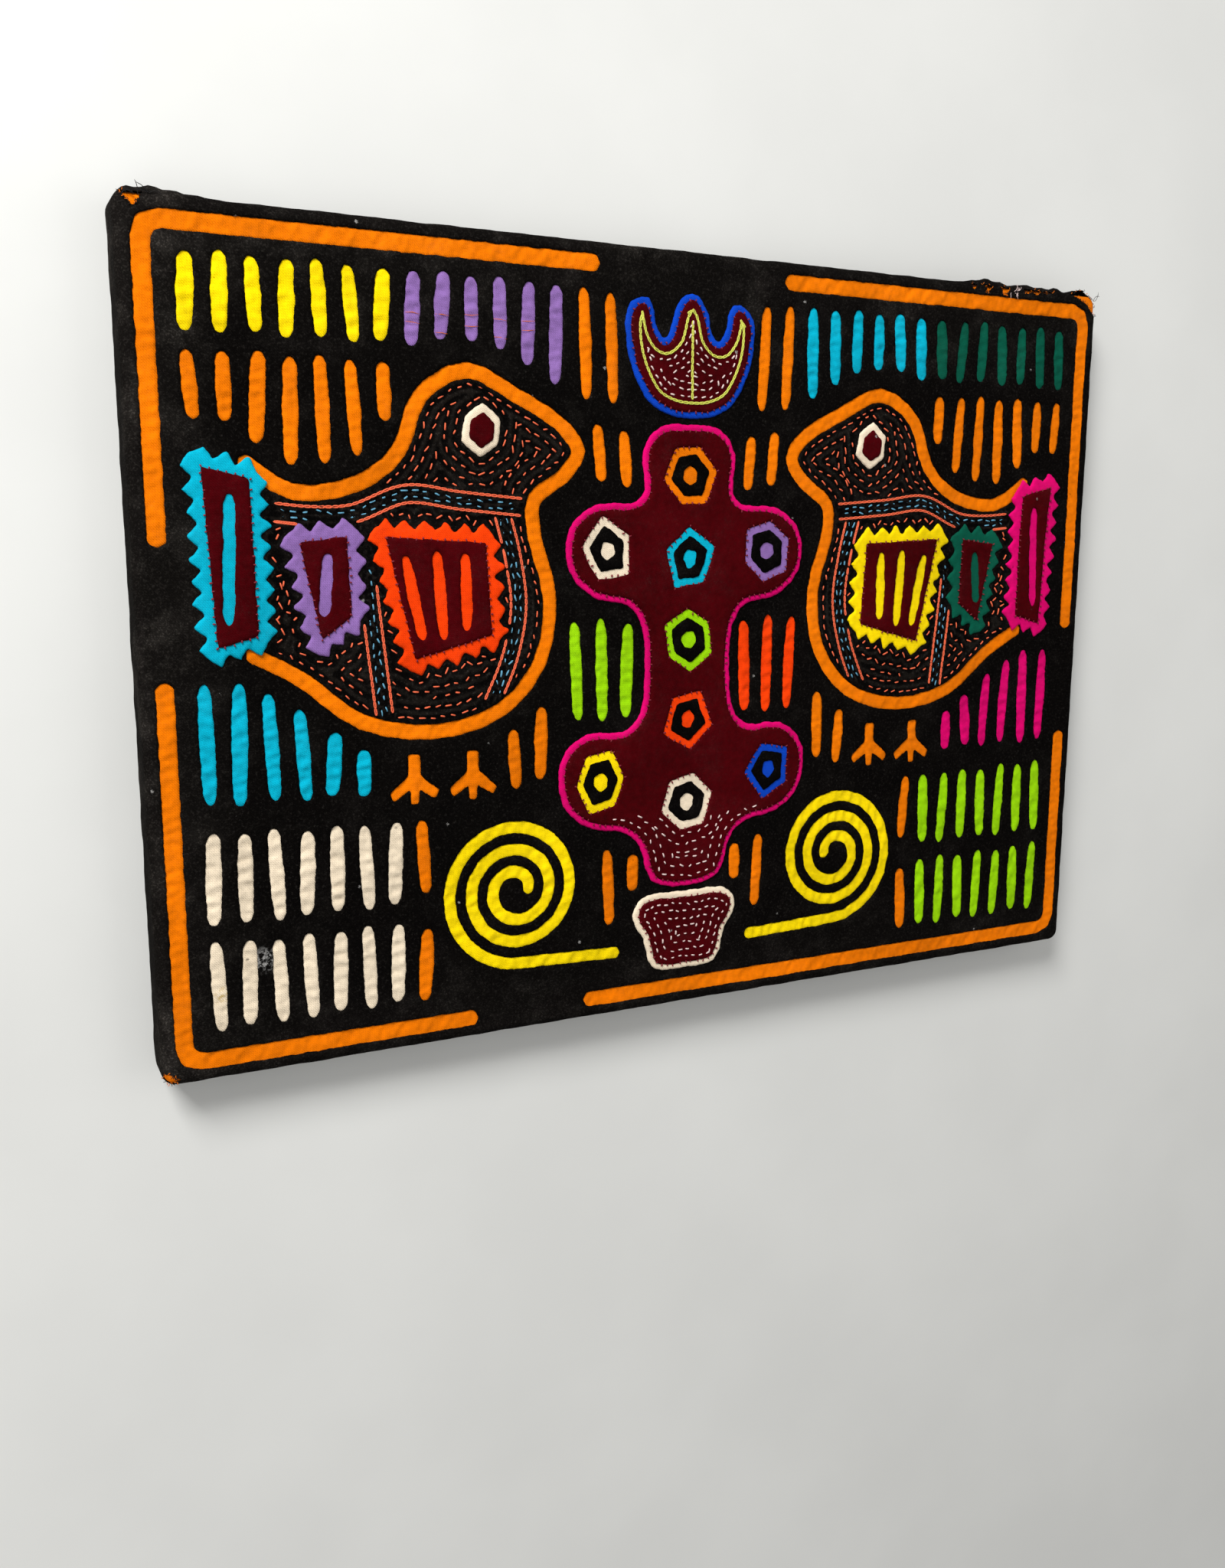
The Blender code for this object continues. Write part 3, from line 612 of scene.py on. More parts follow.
def cloth_face(edges, spacing, seed, fine=None):
    """Points of a cloth between its outline, the first edge, and its cuts, and the triangles that join them.

    Where fine gives a relief, the points lie closer together.
    """
    rim = np.vstack([edge.loop for edge in edges])
    tree = tree_of(rim)
    candidates = []
    for offset, every in RING_STEPS:
        for edge in edges:
            candidates.append(((edge.loop + edge.into * offset)[::every], offset * 0.85))
    rng = np.random.default_rng(seed)
    for gap, is_fine in ((spacing, False), (FINE_GRID, True)):
        if is_fine and fine is None:
            continue
        grid = scattered(rim.min(0), rim.max(0), gap, rng)
        if fine is not None:
            grid = grid[(np.abs(fine(grid)) > 0) == is_fine]
        candidates.append((grid, RING_STEPS[-1][0] + 0.35 * gap))
    free = []
    for points, gap in candidates:
        points = points[nearest(tree, points)[1] >= gap]
        if len(points):
            free.append(points[covered(edges, points)])
    points = np.vstack([rim, *free])
    return points, triangulated(points, edges)


def scattered(low, high, spacing, rng):
    """Points over a rectangle at a spacing, each moved a little so that no rows show."""
    xs, ys = np.arange(low[0], high[0], spacing), np.arange(low[1], high[1], spacing * 0.87)
    x, y = np.meshgrid(xs, ys)
    x = x + (np.arange(len(ys)) % 2)[:, None] * spacing / 2
    return np.column_stack([x.ravel(), y.ravel()]) + rng.uniform(-0.2, 0.2, (x.size, 2)) * spacing


def covered(edges, points):
    """Which points lie on the cloth: within its outline and in none of its cuts."""
    result = encloses(edges[0].loop, points)
    for edge in edges[1:]:
        result &= ~encloses(edge.loop, points)
    return result


def triangulated(points, edges):
    """Triangles over the cloth, face up, that keep to its edges, whose points come first."""
    result = delaunay_2d_cdt([Vector(point) for point in points], ties_round(edges), [], 0, 1e-6)
    origin = [ids[0] if ids else -1 for ids in result[3]]
    faces = np.array([[origin[v] for v in face] for face in result[2]])
    faces = faces[(faces >= 0).all(axis=1)]
    a, b, c = points[faces[:, 0]], points[faces[:, 1]], points[faces[:, 2]]
    area = (b[:, 0] - a[:, 0]) * (c[:, 1] - a[:, 1]) - (b[:, 1] - a[:, 1]) * (c[:, 0] - a[:, 0])
    faces = np.where((area < 0)[:, None], faces[:, ::-1], faces)
    keep = covered(edges, (a + b + c) / 3) & (np.abs(area) > 1e-9)
    return faces[keep]


def cloth_heights(points, edges, top, rolled=None, quilted=None):
    """How the face of a cloth rises to its hemmed edges, with puckers between their stitches."""
    rolled = edges if rolled is None else rolled
    rim = np.vstack([edge.loop for edge in rolled])
    pucker = np.concatenate([edge.pucker for edge in rolled])
    index, distance = nearest(tree_of(rim), points)
    x, y = points.T
    heights = top + swell(x, y) + np.interp(distance, ROLL_AT, ROLL_HEIGHT)
    if quilted is not None:
        heights = heights + quilted(points)
    return heights + 0.07 * np.exp(-distance / 1.7) * np.sin(pucker[index]) * (distance > 0.2)


class Cloth:
    """A cloth's mesh while it is made: points in millimetres, faces, and each corner's place in the weave."""

    def __init__(self, points, heights, faces, turn=0.0):
        self.points = [np.column_stack([points, heights])]
        self.count = len(points)
        self.faces = [faces]
        grain = np.array([[cos(turn), -sin(turn)], [sin(turn), cos(turn)]])
        self.weave = [(points @ grain)[faces].reshape(-1, 2)]

    def add_rows(self, first, rows, along, across):
        """Adds rows of points after one that is there, as a strip of quads, placed in the weave by row."""
        before, size = np.asarray(first), len(first)
        weave = [np.column_stack([along, np.full(size + 1, place)]) for place in across]
        for k, row in enumerate(rows):
            after = self.count + np.arange(size)
            self.points.append(row)
            self.count += size
            self.faces.append(np.column_stack([before, after, np.roll(after, -1), np.roll(before, -1)]))
            u, v = weave[k], weave[k + 1]
            self.weave.append(np.stack([u[:-1], v[:-1], v[1:], u[1:]], axis=1).reshape(-1, 2))
            before = after

    def turn_under(self, edges, heights, start=0):
        """Turns each edge under the cloth. The edges' points follow each other from start on."""
        for edge in edges:
            size = len(edge.loop)
            rim = heights[start:start + size]
            rows, across = [], [0.0]
            for into, drop, place in TURNED_UNDER:
                rows.append(np.column_stack([edge.loop + edge.into * into, rim + drop]))
                across.append(place)
            first = start + np.arange(size)
            if (right_of(edge.loop) * edge.into).sum() > 0:
                first, rows = first[::-1], [row[::-1] for row in rows]
            self.add_rows(first, rows, run_along(closed_up(edge.loop)), across)
            start += size

    def piece(self, name, colour):
        """The finished mesh as an object in its cotton."""
        faces = [tuple(face) for group in self.faces for face in group.tolist()]
        thing = new_object(name, self.points, faces, cotton(colour))
        layer = thing.data.uv_layers.new(name="Weave")
        layer.data.foreach_set("uv", (np.vstack(self.weave) * MM).astype(np.float32).ravel())
        return thing


def new_object(name, points, faces, finish):
    """A smooth mesh object at the origin, from stacks of points in millimetres."""
    mesh = bpy.data.meshes.new(name)
    mesh.from_pydata((np.vstack(points) * MM).tolist(), [], faces)
    mesh.shade_smooth()
    mesh.materials.append(finish)
    thing = bpy.data.objects.new(name, mesh)
    bpy.context.scene.collection.objects.link(thing)
    return thing


def seed_of(name):
    """A seed that stays the same for a name."""
    return sum((k + 1) * ord(letter) for k, letter in enumerate(name)) % 9973


def declare_cloth(piece, node, colour, rests_on, flat=None):
    """Attaches the finished cloth to the body and hides the part that it stands for. The size it was cut to,
    its area and what it rests on are worked out, but nothing is done with them. Its colour is not used.
    """
    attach(piece, BODY)
    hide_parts(node)
    if flat is None:
        places = np.array([vertex.co for vertex in piece.data.vertices])
        flat = (places.max(0) - places.min(0) + TURNED_CLOTH)[:2].tolist()
    area = sum(face.area for face in piece.data.polygons)
    least, most = LEAST_SHARE * flat[0] * flat[1], flat[0] * flat[1]
    min(max(area, least), most)
    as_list(rests_on)


def applied_piece(
        node, colour, outline, cuts, top, rests_on,
        step=0.85, spacing=2.6, sunk=0.0, wander=0.16, quilted=None):
    """A piece of cotton sewn down on the cloth under it, with its edges and cuts turned under."""
    seed = seed_of(node)
    edges = [Edge(loop, step, seed + k, k > 0, wander) for k, loop in enumerate([outline, *cuts])]
    points, faces = cloth_face(edges, spacing, seed)
    heights = cloth_heights(points, edges, top, quilted=quilted)
    if sunk:
        distance = nearest(tree_of(edges[0].loop), points)[1]
        heights -= sunk * np.clip((distance - 2.0) / 1.5, 0, 1)
    cloth = Cloth(points, heights, faces, turn=(seed % 7 - 3) * 0.06)
    cloth.turn_under(edges, heights)
    piece = cloth.piece("sewn_" + node, colour)
    declare_cloth(piece, node, colour, rests_on)
    return piece


# Orange cloth and patches: height beside the windows over them and in these, spacing of points, ripple.
PATCH_HIGH = 17.15
UNDER_LAYER = (15.8, 17.05, 5.0, 0.30)
PATCH_LAYER = (16.3, PATCH_HIGH, 4.0, 0.42)
# Heights of the layers above: each thin cotton presses on the next.
FACE_Z = 17.65
MOTIF_Z = 18.3
INLAY_Z = 18.95
# The orange cloth at the panel's sides: how far in it lies, the radius of its fold, the height where it ends.
UNDER_SIDE_INSET = 0.55
UNDER_FOLD = 2.95
UNDER_SIDE_END = 3.2
# The least radius of a corner inside the panel's own.
INNER_CORNER = 0.8
# Spacing of points: along hemmed cuts, round each cloth, over plain, quilted and rippled cloth.
EDGE_STEP = 0.95
BLACK_STEP = 2.2
UNDER_STEP = 3.0
PATCH_STEP = 2.0
BLACK_GRID = 3.1
FINE_GRID = 1.3
RIPPLE_GRID = 0.9
# What the cloths rest on.
ON_BARS = ["frame_bar_top", "frame_bar_bottom"]
ON_BLACK = ["black_top_cloth"]


@lru_cache(maxsize=None)
def top_edges():
    """The hemmed cuts of the black cloth, with the colour that shows in each."""
    found = [(Edge(cut, EDGE_STEP, BORDER_SEED + k, True), "orange") for k, cut in enumerate(border_cuts())]
    shows = [(colour, colour) for colour in ("orange", "yellow", *["orange"] * len(BIRD_LEGS))]
    for block, left, right in blocks():
        shows += [(left, right)] * len(row_cuts(block))
    for k, (cut, (left, right)) in enumerate(zip(left_cuts(), shows)):
        found.append((Edge(cut, EDGE_STEP, LEFT_SEED + k, True), left))
        found.append((Edge(mirrored(cut), EDGE_STEP, RIGHT_SEED + k, True), right))
    return found


def side_stations(step):
    """Points round the panel: shares of the straight sides' half lengths, and the way out."""
    half_w, half_h, radius = mm("panel_width") / 2, mm("panel_height") / 2, mm("corner_radius")
    stations = []
    for corner, (sx, sy) in enumerate(((1, -1), (1, 1), (-1, 1), (-1, -1))):
        for k in range(6):
            angle = (corner - 1) * pi / 2 + k * pi / 12
            stations.append((sx, sy, cos(angle), sin(angle)))
        nx, ny = cos(corner * pi / 2), sin(corner * pi / 2)
        stations.append((sx, sy, nx, ny))
        upright = abs(ny) < 0.5
        count = round(2 * ((half_h if upright else half_w) - radius) / step)
        for k in range(1, count):
            share = 1 - 2 * k / count
            stations.append((sx, sy * share, nx, ny) if upright else (sx * share, sy, nx, ny))
    return np.array(stations)


def ring_at(stations, inset):
    """The panel's outline at some distance in from its side."""
    radius = max(mm("corner_radius") - inset, INNER_CORNER)
    half = np.array([mm("panel_width") / 2 - inset - radius, mm("panel_height") / 2 - inset - radius])
    return stations[:, :2] * half + stations[:, 2:] * radius


def fold(inset, z, radius, first, last, steps):
    """Points of a rounded fold: how far in from the panel's side, and the height."""
    angles = [radians(first + (last - first) * k / steps) for k in range(steps + 1)]
    return [(inset - radius * cos(a), z + radius * sin(a)) for a in angles]


class PlainEdge:
    """An edge that isn't hemmed, such as the line where the face folds over the side."""

    def __init__(self, loop):
        self.loop = loop
        self.into = -right_of(loop)


def flat_size(reach, inset=0.0):
    """A stretched cloth's size in metres: the panel's, less an inset, and what goes over the sides."""
    return [(mm(side) - inset + reach) * MM for side in ("panel_width", "panel_height")]


def wrap_sides(cloth, first, stations, profile, creases, lumps=()):
    """Carries a cloth over the sides along a profile of (inset, height), with creases and with lumps."""
    rows, across, run = [], [0.0], 0.0
    along = run_along(closed_up(ring_at(stations, profile[0][0])))
    s = along[:-1]
    for (before_in, before_z), (inset, z) in zip(profile, profile[1:]):
        run += hypot(inset - before_in, z - before_z)
        across.append(-run)
        ring = ring_at(stations, inset)
        on_back = inset > mm("back_fold_radius") and z < 2
        crease = waves(s, np.full(len(s), run * 0.35), CREASE_SEED, 6, 22) * creases
        lift = waves(s, np.full(len(s), run), LIFT_SEED, 9, 30) * creases
        lump = np.zeros(len(s))
        for x, reach, out in lumps:
            lump += np.exp(-((ring[:, 0] - x) / reach) ** 2) * (stations[:, 3] > 0.25) * out
        push = crease * 0.5 + lump * max(0.0, 1 - abs(z - FACE_Z + 2.6) / 7) * (not on_back)
        placed = ring + stations[:, 2:] * (0.0 if on_back else 1.0) * push[:, None]
        height = z + (np.abs(lift) * 0.9 if on_back else 0.0)
        height = height + 0.3 * lump * max(0.0, 1 - abs(z - FACE_Z + 1.6) / 3)
        rows.append(np.column_stack([placed, height]))
    cloth.add_rows(first, rows, along, across)


@lru_cache(maxsize=None)
def bird_field():
    """The left bird's body, the outlines on it, these as close steps, and trees of them and of the seams."""
    outlines = [line_cut(smooth(BIRD_BODY, 3), mm("bird_line"))]
    outlines += [toothed(corners) for _, _, _, corners in TOOTHED_PIECES]
    outlines.append(eye(BIRD_EYE[0]))
    fine = [stepped(outline, CLOSE_STEP)[0] for outline in outlines]
    seams = np.vstack([offset_line(seam, 0.0) for seam in SEAM_LINES])
    return np.array(smooth(BIRD_BODY, 3)), outlines, fine, tree_of(np.vstack(fine)), tree_of(seams)


def on_bird(points):
    """Which points lie on the black of the left bird's body, clear of what is sewn on it."""
    body, _, fine, _, _ = bird_field()
    free = encloses(body, points)
    for outline in fine:
        free &= ~encloses(outline, points)
    return free


def bird_quilting(points):
    """Furrows along the rows of stitches on both birds, and soft ridges between them."""
    points = np.column_stack([-np.abs(points[:, 0]), points[:, 1]])
    _, _, _, outline_tree, seam_tree = bird_field()
    free = np.flatnonzero(on_bird(points))
    result = np.zeros(len(points))
    if len(free):
        at = points[free]
        from_edge, from_seam = nearest(outline_tree, at)[1], nearest(seam_tree, at)[1]
        rows = -QUILT_DEPTH * np.cos(2 * pi * (from_edge - FIRST_ROW) / mm("row_pitch"))
        seam = -QUILT_DEPTH * np.cos(2 * pi * (from_seam - SEAM_HALF) / (SEAM_HALF - SEAM_THREADS))
        share = np.clip((from_seam - SEAM_HALF - 1.0) / 1.5, 0, 1)
        relief = rows * share + seam * (1 - share)
        relief *= np.clip(from_edge / 2.0, 0, 1)
        wrinkles = 0.07 * waves(at[:, 0], at[:, 1], BIRD_WRINKLE_SEED, 2.8, 5.5)
        result[free] = relief + wrinkles + 1e-6
    return result


def plant_quilting(points):
    """Soft wrinkles on the plant's face, and furrows along the rows of pale stitches at its foot."""
    x, y = points.T
    _, tree, _ = plant_field()
    distance = nearest(tree, points)[1]
    furrows = -0.13 * np.cos(2 * pi * (distance - FIRST_ROW) / mm("row_pitch"))
    wrinkles = 0.07 * waves(x, y, PLANT_WRINKLE_SEED, 3.5, 9)
    return furrows * np.clip((PLANT_FOOT - y) / 4, 0, 1) + wrinkles


def plant_windows():
    """The windows in the plant's face, one round each spot."""
    return [spot(x, y, mm("ring_radius"), sides, turn) for x, y, _, sides, turn in SPOTS]


@lru_cache(maxsize=None)
def plant_field():
    """The plant's outline and its windows, a search tree of them, and the same as close steps."""
    loops = [whole(PLANT_HALF), *plant_windows()]
    fine = [stepped(loop, CLOSE_STEP)[0] for loop in loops]
    return loops, tree_of(np.vstack(fine)), fine


class MOLA_OT_black_cloth(bpy.types.Operator):
    """Sews the black top cloth: cut through along every line and folded over the frame"""

    bl_idname = "mola.black_cloth"
    bl_label = "Black cloth"

    def execute(self, context):
        fold_radius, low, hem = mm("fold_radius"), mm("back_fold_radius"), mm("hem_width")
        stations = side_stations(BLACK_STEP)
        outline = PlainEdge(ring_at(stations, fold_radius))
        cuts = [edge for edge, _ in top_edges()]
        edges, size = [outline, *cuts], len(outline.loop)
        points, faces = cloth_face(edges, BLACK_GRID, BLACK_SEED, fine=bird_quilting)
        heights = cloth_heights(points, edges, FACE_Z, rolled=cuts, quilted=bird_quilting)
        cloth = Cloth(points, heights, faces)
        cloth.turn_under(cuts, heights, start=size)
        profile = fold(fold_radius, FACE_Z - fold_radius, fold_radius, 90, 0, 6)
        top = profile[-1][1]
        profile += [(0.0, top + (low - top) * k / 6) for k in range(1, 6)]
        profile += fold(low, low, low, 0, -90, 4)
        profile += [(low + (hem - low) * k / 8, 0.02) for k in range(1, 9)]
        profile += [(hem + 0.15, 0.25), (hem - 0.8, 0.42)]
        wrap_sides(cloth, np.arange(size), stations, profile, 0.3, EDGE_LUMPS)
        piece = cloth.piece("black_top_cloth", "black")
        # How high each point of the quilting lies, from 0 in a furrow to 1 on a ridge. The black cotton uses
        # it to paint the ridges lighter and the furrows darker: painted light and painted shade.
        raised = np.full(len(piece.data.vertices), 0.5, np.float32)
        raised[:len(points)] = np.clip(0.5 + bird_quilting(points) / QUILT_DEPTH / 2, 0, 1)
        piece.data.attributes.new("raised", "FLOAT", "POINT").data.foreach_set("value", raised)
        tear_open(piece)
        unrolled = 2 * sum(hypot(b[0] - a[0], b[1] - a[1]) for a, b in zip(profile, profile[1:]))
        flat = flat_size(unrolled, 2 * fold_radius)
        declare_cloth(piece, "top_cloth", "black", ON_BARS, flat)
        return {"FINISHED"}


def in_tears(places, reach=0.0):
    """Which places, in millimetres, lie in a tear or within a reach of its corners' box."""
    found = np.zeros(len(places), bool)
    for tear in TEARS:
        corners = np.array(tear)
        if reach:
            near = (places[:, :2] > corners.min(0) - reach) & (places[:, :2] < corners.max(0) + reach)
            found |= near.all(axis=1)
        else:
            found |= encloses(stepped(corners, 0.5)[0], places[:, :2])
    return found & (places[:, 2] > TEAR_LOW - reach)


def tear_open(piece):
    """Makes the cloth finer round the tears and takes out what lies in them, which leaves ragged sides."""
    shape = bmesh.new()
    shape.from_mesh(piece.data)
    for _ in range(2):
        faces = list(shape.faces)
        near = in_tears(np.array([face.calc_center_median() for face in faces]) / MM, TEAR_REACH)
        edges = {edge for face, is_near in zip(faces, near) if is_near for edge in face.edges}
        bmesh.ops.subdivide_edges(shape, edges=list(edges), cuts=1, use_grid_fill=True)
    bmesh.ops.triangulate(shape, faces=[face for face in shape.faces if len(face.verts) > 4])
    faces = list(shape.faces)
    torn = in_tears(np.array([face.calc_center_median() for face in faces]) / MM)
    bmesh.ops.delete(shape, geom=[face for face, is_torn in zip(faces, torn) if is_torn], context="FACES")
    shape.to_mesh(piece.data)
    shape.free()


def torn_edges():
    """The middles of the black cloth's open edges at the tears, in millimetres."""
    shape = bmesh.new()
    shape.from_mesh(bpy.data.objects["black_top_cloth"].data)
    open_edges = [edge for edge in shape.edges if edge.is_boundary]
    middles = np.array([(edge.verts[0].co + edge.verts[1].co) / 2 for edge in open_edges]) / MM
    shape.free()
    return middles[in_tears(middles, 1.0)]


def lining(node, colour, outline, windows, layer, rests_on):
    """A cloth under the black one, which rises in the windows cut over it and ripples between their edges.

    Without an outline of its own it is as large as the panel, and folded over the panel's sides.
    """
    low, high, coarse, puff = layer
    seed = seed_of(node)
    rim = np.vstack([edge.loop for edge in windows])
    out = np.vstack([right_of(edge.loop) for edge in windows])
    pucker = np.concatenate([edge.pucker for edge in windows])
    tree = tree_of(rim)

    def depth(points):
        """How far into a window each point lies, less than 0 beside it, and the nearest point of its edge."""
        index, distance = nearest(tree, points)
        return np.where(((points - rim[index]) * out[index]).sum(axis=1) < 0, distance, -distance), index

    if outline is None:
        stations = side_stations(UNDER_STEP)
        loop = ring_at(stations, UNDER_SIDE_INSET + UNDER_FOLD)
    else:
        loop = stepped(outline, PATCH_STEP)[0]
    rng = np.random.default_rng(seed)
    grids = []
    for spacing, is_fine in ((RIPPLE_GRID, True), (coarse, False)):
        xs, ys = (np.arange(first, last, spacing) for first, last in zip(loop.min(0), loop.max(0)))
        grid = np.stack(np.meshgrid(xs, ys), axis=-1).reshape(-1, 2)
        grid = grid + rng.uniform(-0.22, 0.22, grid.shape) * spacing
        inside, _ = depth(grid)
        grid = grid[inside > -1.5] if is_fine else grid[inside < -2.0]
        grids.append(grid[encloses(loop, grid)])
    free = np.vstack(grids)
    free = free[nearest(tree_of(loop), free)[1] > 0.6]
    points = np.vstack([loop, free])
    faces = triangulated(points, [PlainEdge(loop)])
    inside, index = depth(points)
    x, y = points.T
    share = np.clip((inside + 1.4) / 1.5, 0, 1)
    share = share * share * (3 - 2 * share)
    if outline is None:
        from_side = nearest(tree_of(loop), points)[1]
        share = np.maximum(share, 1 - np.clip((from_side - 3.0) / 2.0, 0, 1))
    across = np.abs(out[index]) / np.abs(out[index]).sum(axis=1)[:, None]
    ripples = across[:, 0] * waves(x * 0.4, y, seed, 2.6, 5.5)
    ripples = ripples + across[:, 1] * waves(x, y * 0.4, seed + 1, 2.6, 5.5)
    ripples += np.sin(pucker[index]) * np.exp(-np.abs(inside) / 1.6) * 0.4
    heights = low + (high - low) * share + swell(x, y)
    heights = heights + puff * np.clip((inside + 0.3) / 1.3, 0, 1) * ripples
    cloth = Cloth(points, heights, faces, turn=(seed % 5 - 2) * 0.04)
    flat = None
    if outline is None:
        straight = high - UNDER_FOLD - UNDER_SIDE_END
        profile = fold(UNDER_SIDE_INSET + UNDER_FOLD, high - UNDER_FOLD, UNDER_FOLD, 90, 0, 4)
        profile += [(UNDER_SIDE_INSET, high - UNDER_FOLD - straight * k / 3) for k in range(1, 4)]
        wrap_sides(cloth, np.arange(len(loop)), stations, profile, 0.1)
        flat = flat_size(2 * (UNDER_FOLD * pi / 2 + straight - UNDER_SIDE_INSET - UNDER_FOLD))
    declare_cloth(cloth.piece("sewn_" + node, colour), node, colour, rests_on, flat)


class MOLA_OT_orange_cloth(bpy.types.Operator):
    """Stretches the orange cloth that shows in the lines and in the open slits"""

    bl_idname = "mola.orange_cloth"
    bl_label = "Orange cloth"

    def execute(self, context):
        windows = [edge for edge, colour in top_edges() if colour == "orange"]
        lining("under_cloth", "orange", None, windows, UNDER_LAYER, ON_BARS)
        return {"FINISHED"}


class MOLA_OT_patches(bpy.types.Operator):
    """Lays the coloured patches under the rows of slits and under the spirals"""

    bl_idname = "mola.patches"
    bl_label = "Coloured patches"

    def execute(self, context):
        jobs = [("spiral", "yellow", "yellow", spiral_patch())]
        jobs += [(*row, patch_outline(row[0])) for row in blocks() if row[1] != "orange"]
        for block, left, right, outline in jobs:
            for side, colour, shape in (("left", left, outline), ("right", right, mirrored(outline))):
                loop = stepped(shape, PATCH_STEP)[0]
                windows = [edge for edge, _ in top_edges() if encloses(loop, edge.loop).mean() > 0.9]
                name = f"patch_{block}_{side}"
                lining(name, colour, shape, windows, PATCH_LAYER, ["sewn_under_cloth"])
        return {"FINISHED"}


class MOLA_OT_toothed_pieces(bpy.types.Operator):
    """Sews on the birds' tails, shoulders and wings with their zigzag edges and maroon faces"""

    bl_idname = "mola.toothed_pieces"
    bl_label = "Toothed pieces"

    def execute(self, context):
        for part, left, right, corners in TOOTHED_PIECES:
            teeth, face = toothed(corners), list(corners[::-1])
            cuts = [
                slit(x, y - span / 2, y + span / 2, mm("face_cut_width"), lean)
                for name, x, y, span, lean in FACE_CUTS if name == part
            ]
            for side, colour, flip in (("left", left, list), ("right", right, mirrored)):
                base = applied_piece(
                    f"{part}_teeth_{side}", colour, flip(teeth), [], MOTIF_Z, ON_BLACK, 0.7, 2.2, wander=0.3)
                inner = [flip(cut) for cut in cuts]
                applied_piece(f"{part}_face_{side}", "maroon", flip(face), inner, INLAY_Z, [base])
        return {"FINISHED"}


class MOLA_OT_eyes(bpy.types.Operator):
    """Sews on the birds' eyes"""

    bl_idname = "mola.eyes"
    bl_label = "Eyes"

    def execute(self, context):
        for side, x in (("left", BIRD_EYE[0]), ("right", -BIRD_EYE[0])):
            rim = applied_piece(f"eye_rim_{side}", "cream", eye(x), [], MOTIF_Z, ON_BLACK, 0.8, 2.2)
            inner = eye(x, mm("eye_band"))
            applied_piece(f"eye_face_{side}", "maroon", inner, [], INLAY_Z, [rim], 0.8, 2.2)
        return {"FINISHED"}


def rimmed_piece(name, colour, outline, cuts, sunk, **face):
    """A maroon piece on a coloured one, of which a rim shows round it."""
    outer = grown(outline, mm("rim_width"))
    rim = applied_piece(f"{name}_rim", colour, outer, [], MOTIF_Z, ON_BLACK, sunk=sunk)
    applied_piece(f"{name}_face", "maroon", outline, cuts, INLAY_Z, [rim], **face)
    return rim


class MOLA_OT_plant(bpy.types.Operator):
    """Sews on the maroon plant with its magenta rim and its coloured spots"""

    bl_idname = "mola.plant"
    bl_label = "Plant and spots"

    def execute(self, context):
        look = {"spacing": 1.5, "quilted": plant_quilting}
        rim = rimmed_piece("plant", "magenta", whole(PLANT_HALF), plant_windows(), 0.45, **look)
        for number, (x, y, colour, sides, turn) in enumerate(SPOTS, 1):
            band = spot(x, y, mm("ring_radius") + mm("ring_tuck") - BAND_TRIM, sides, turn)
            ring = applied_piece(f"spot_ring_{number}", colour, band, [], MOTIF_Z + 0.05, [rim], 0.8, 2.4)
            dot = spot(x, y, mm("dot_radius"), sides, turn + 18)
            face = spot(x, y, mm("ring_radius") - mm("ring_band"), sides, turn)
            applied_piece(f"spot_face_{number}", "black", face, [dot], INLAY_Z, [ring], 0.8, 2.2)
        return {"FINISHED"}


class MOLA_OT_flower_and_pot(bpy.types.Operator):
    """Sews on the flower over the plant and the pot under it"""

    bl_idname = "mola.flower_and_pot"
    bl_label = "Flower and pot"

    def execute(self, context):
        rimmed_piece("flower", "blue", whole(FLOWER_HALF), [], 0.2)
        rimmed_piece("pot", "cream", whole(POT_HALF), [], 0.2)
        return {"FINISHED"}


# Thread.


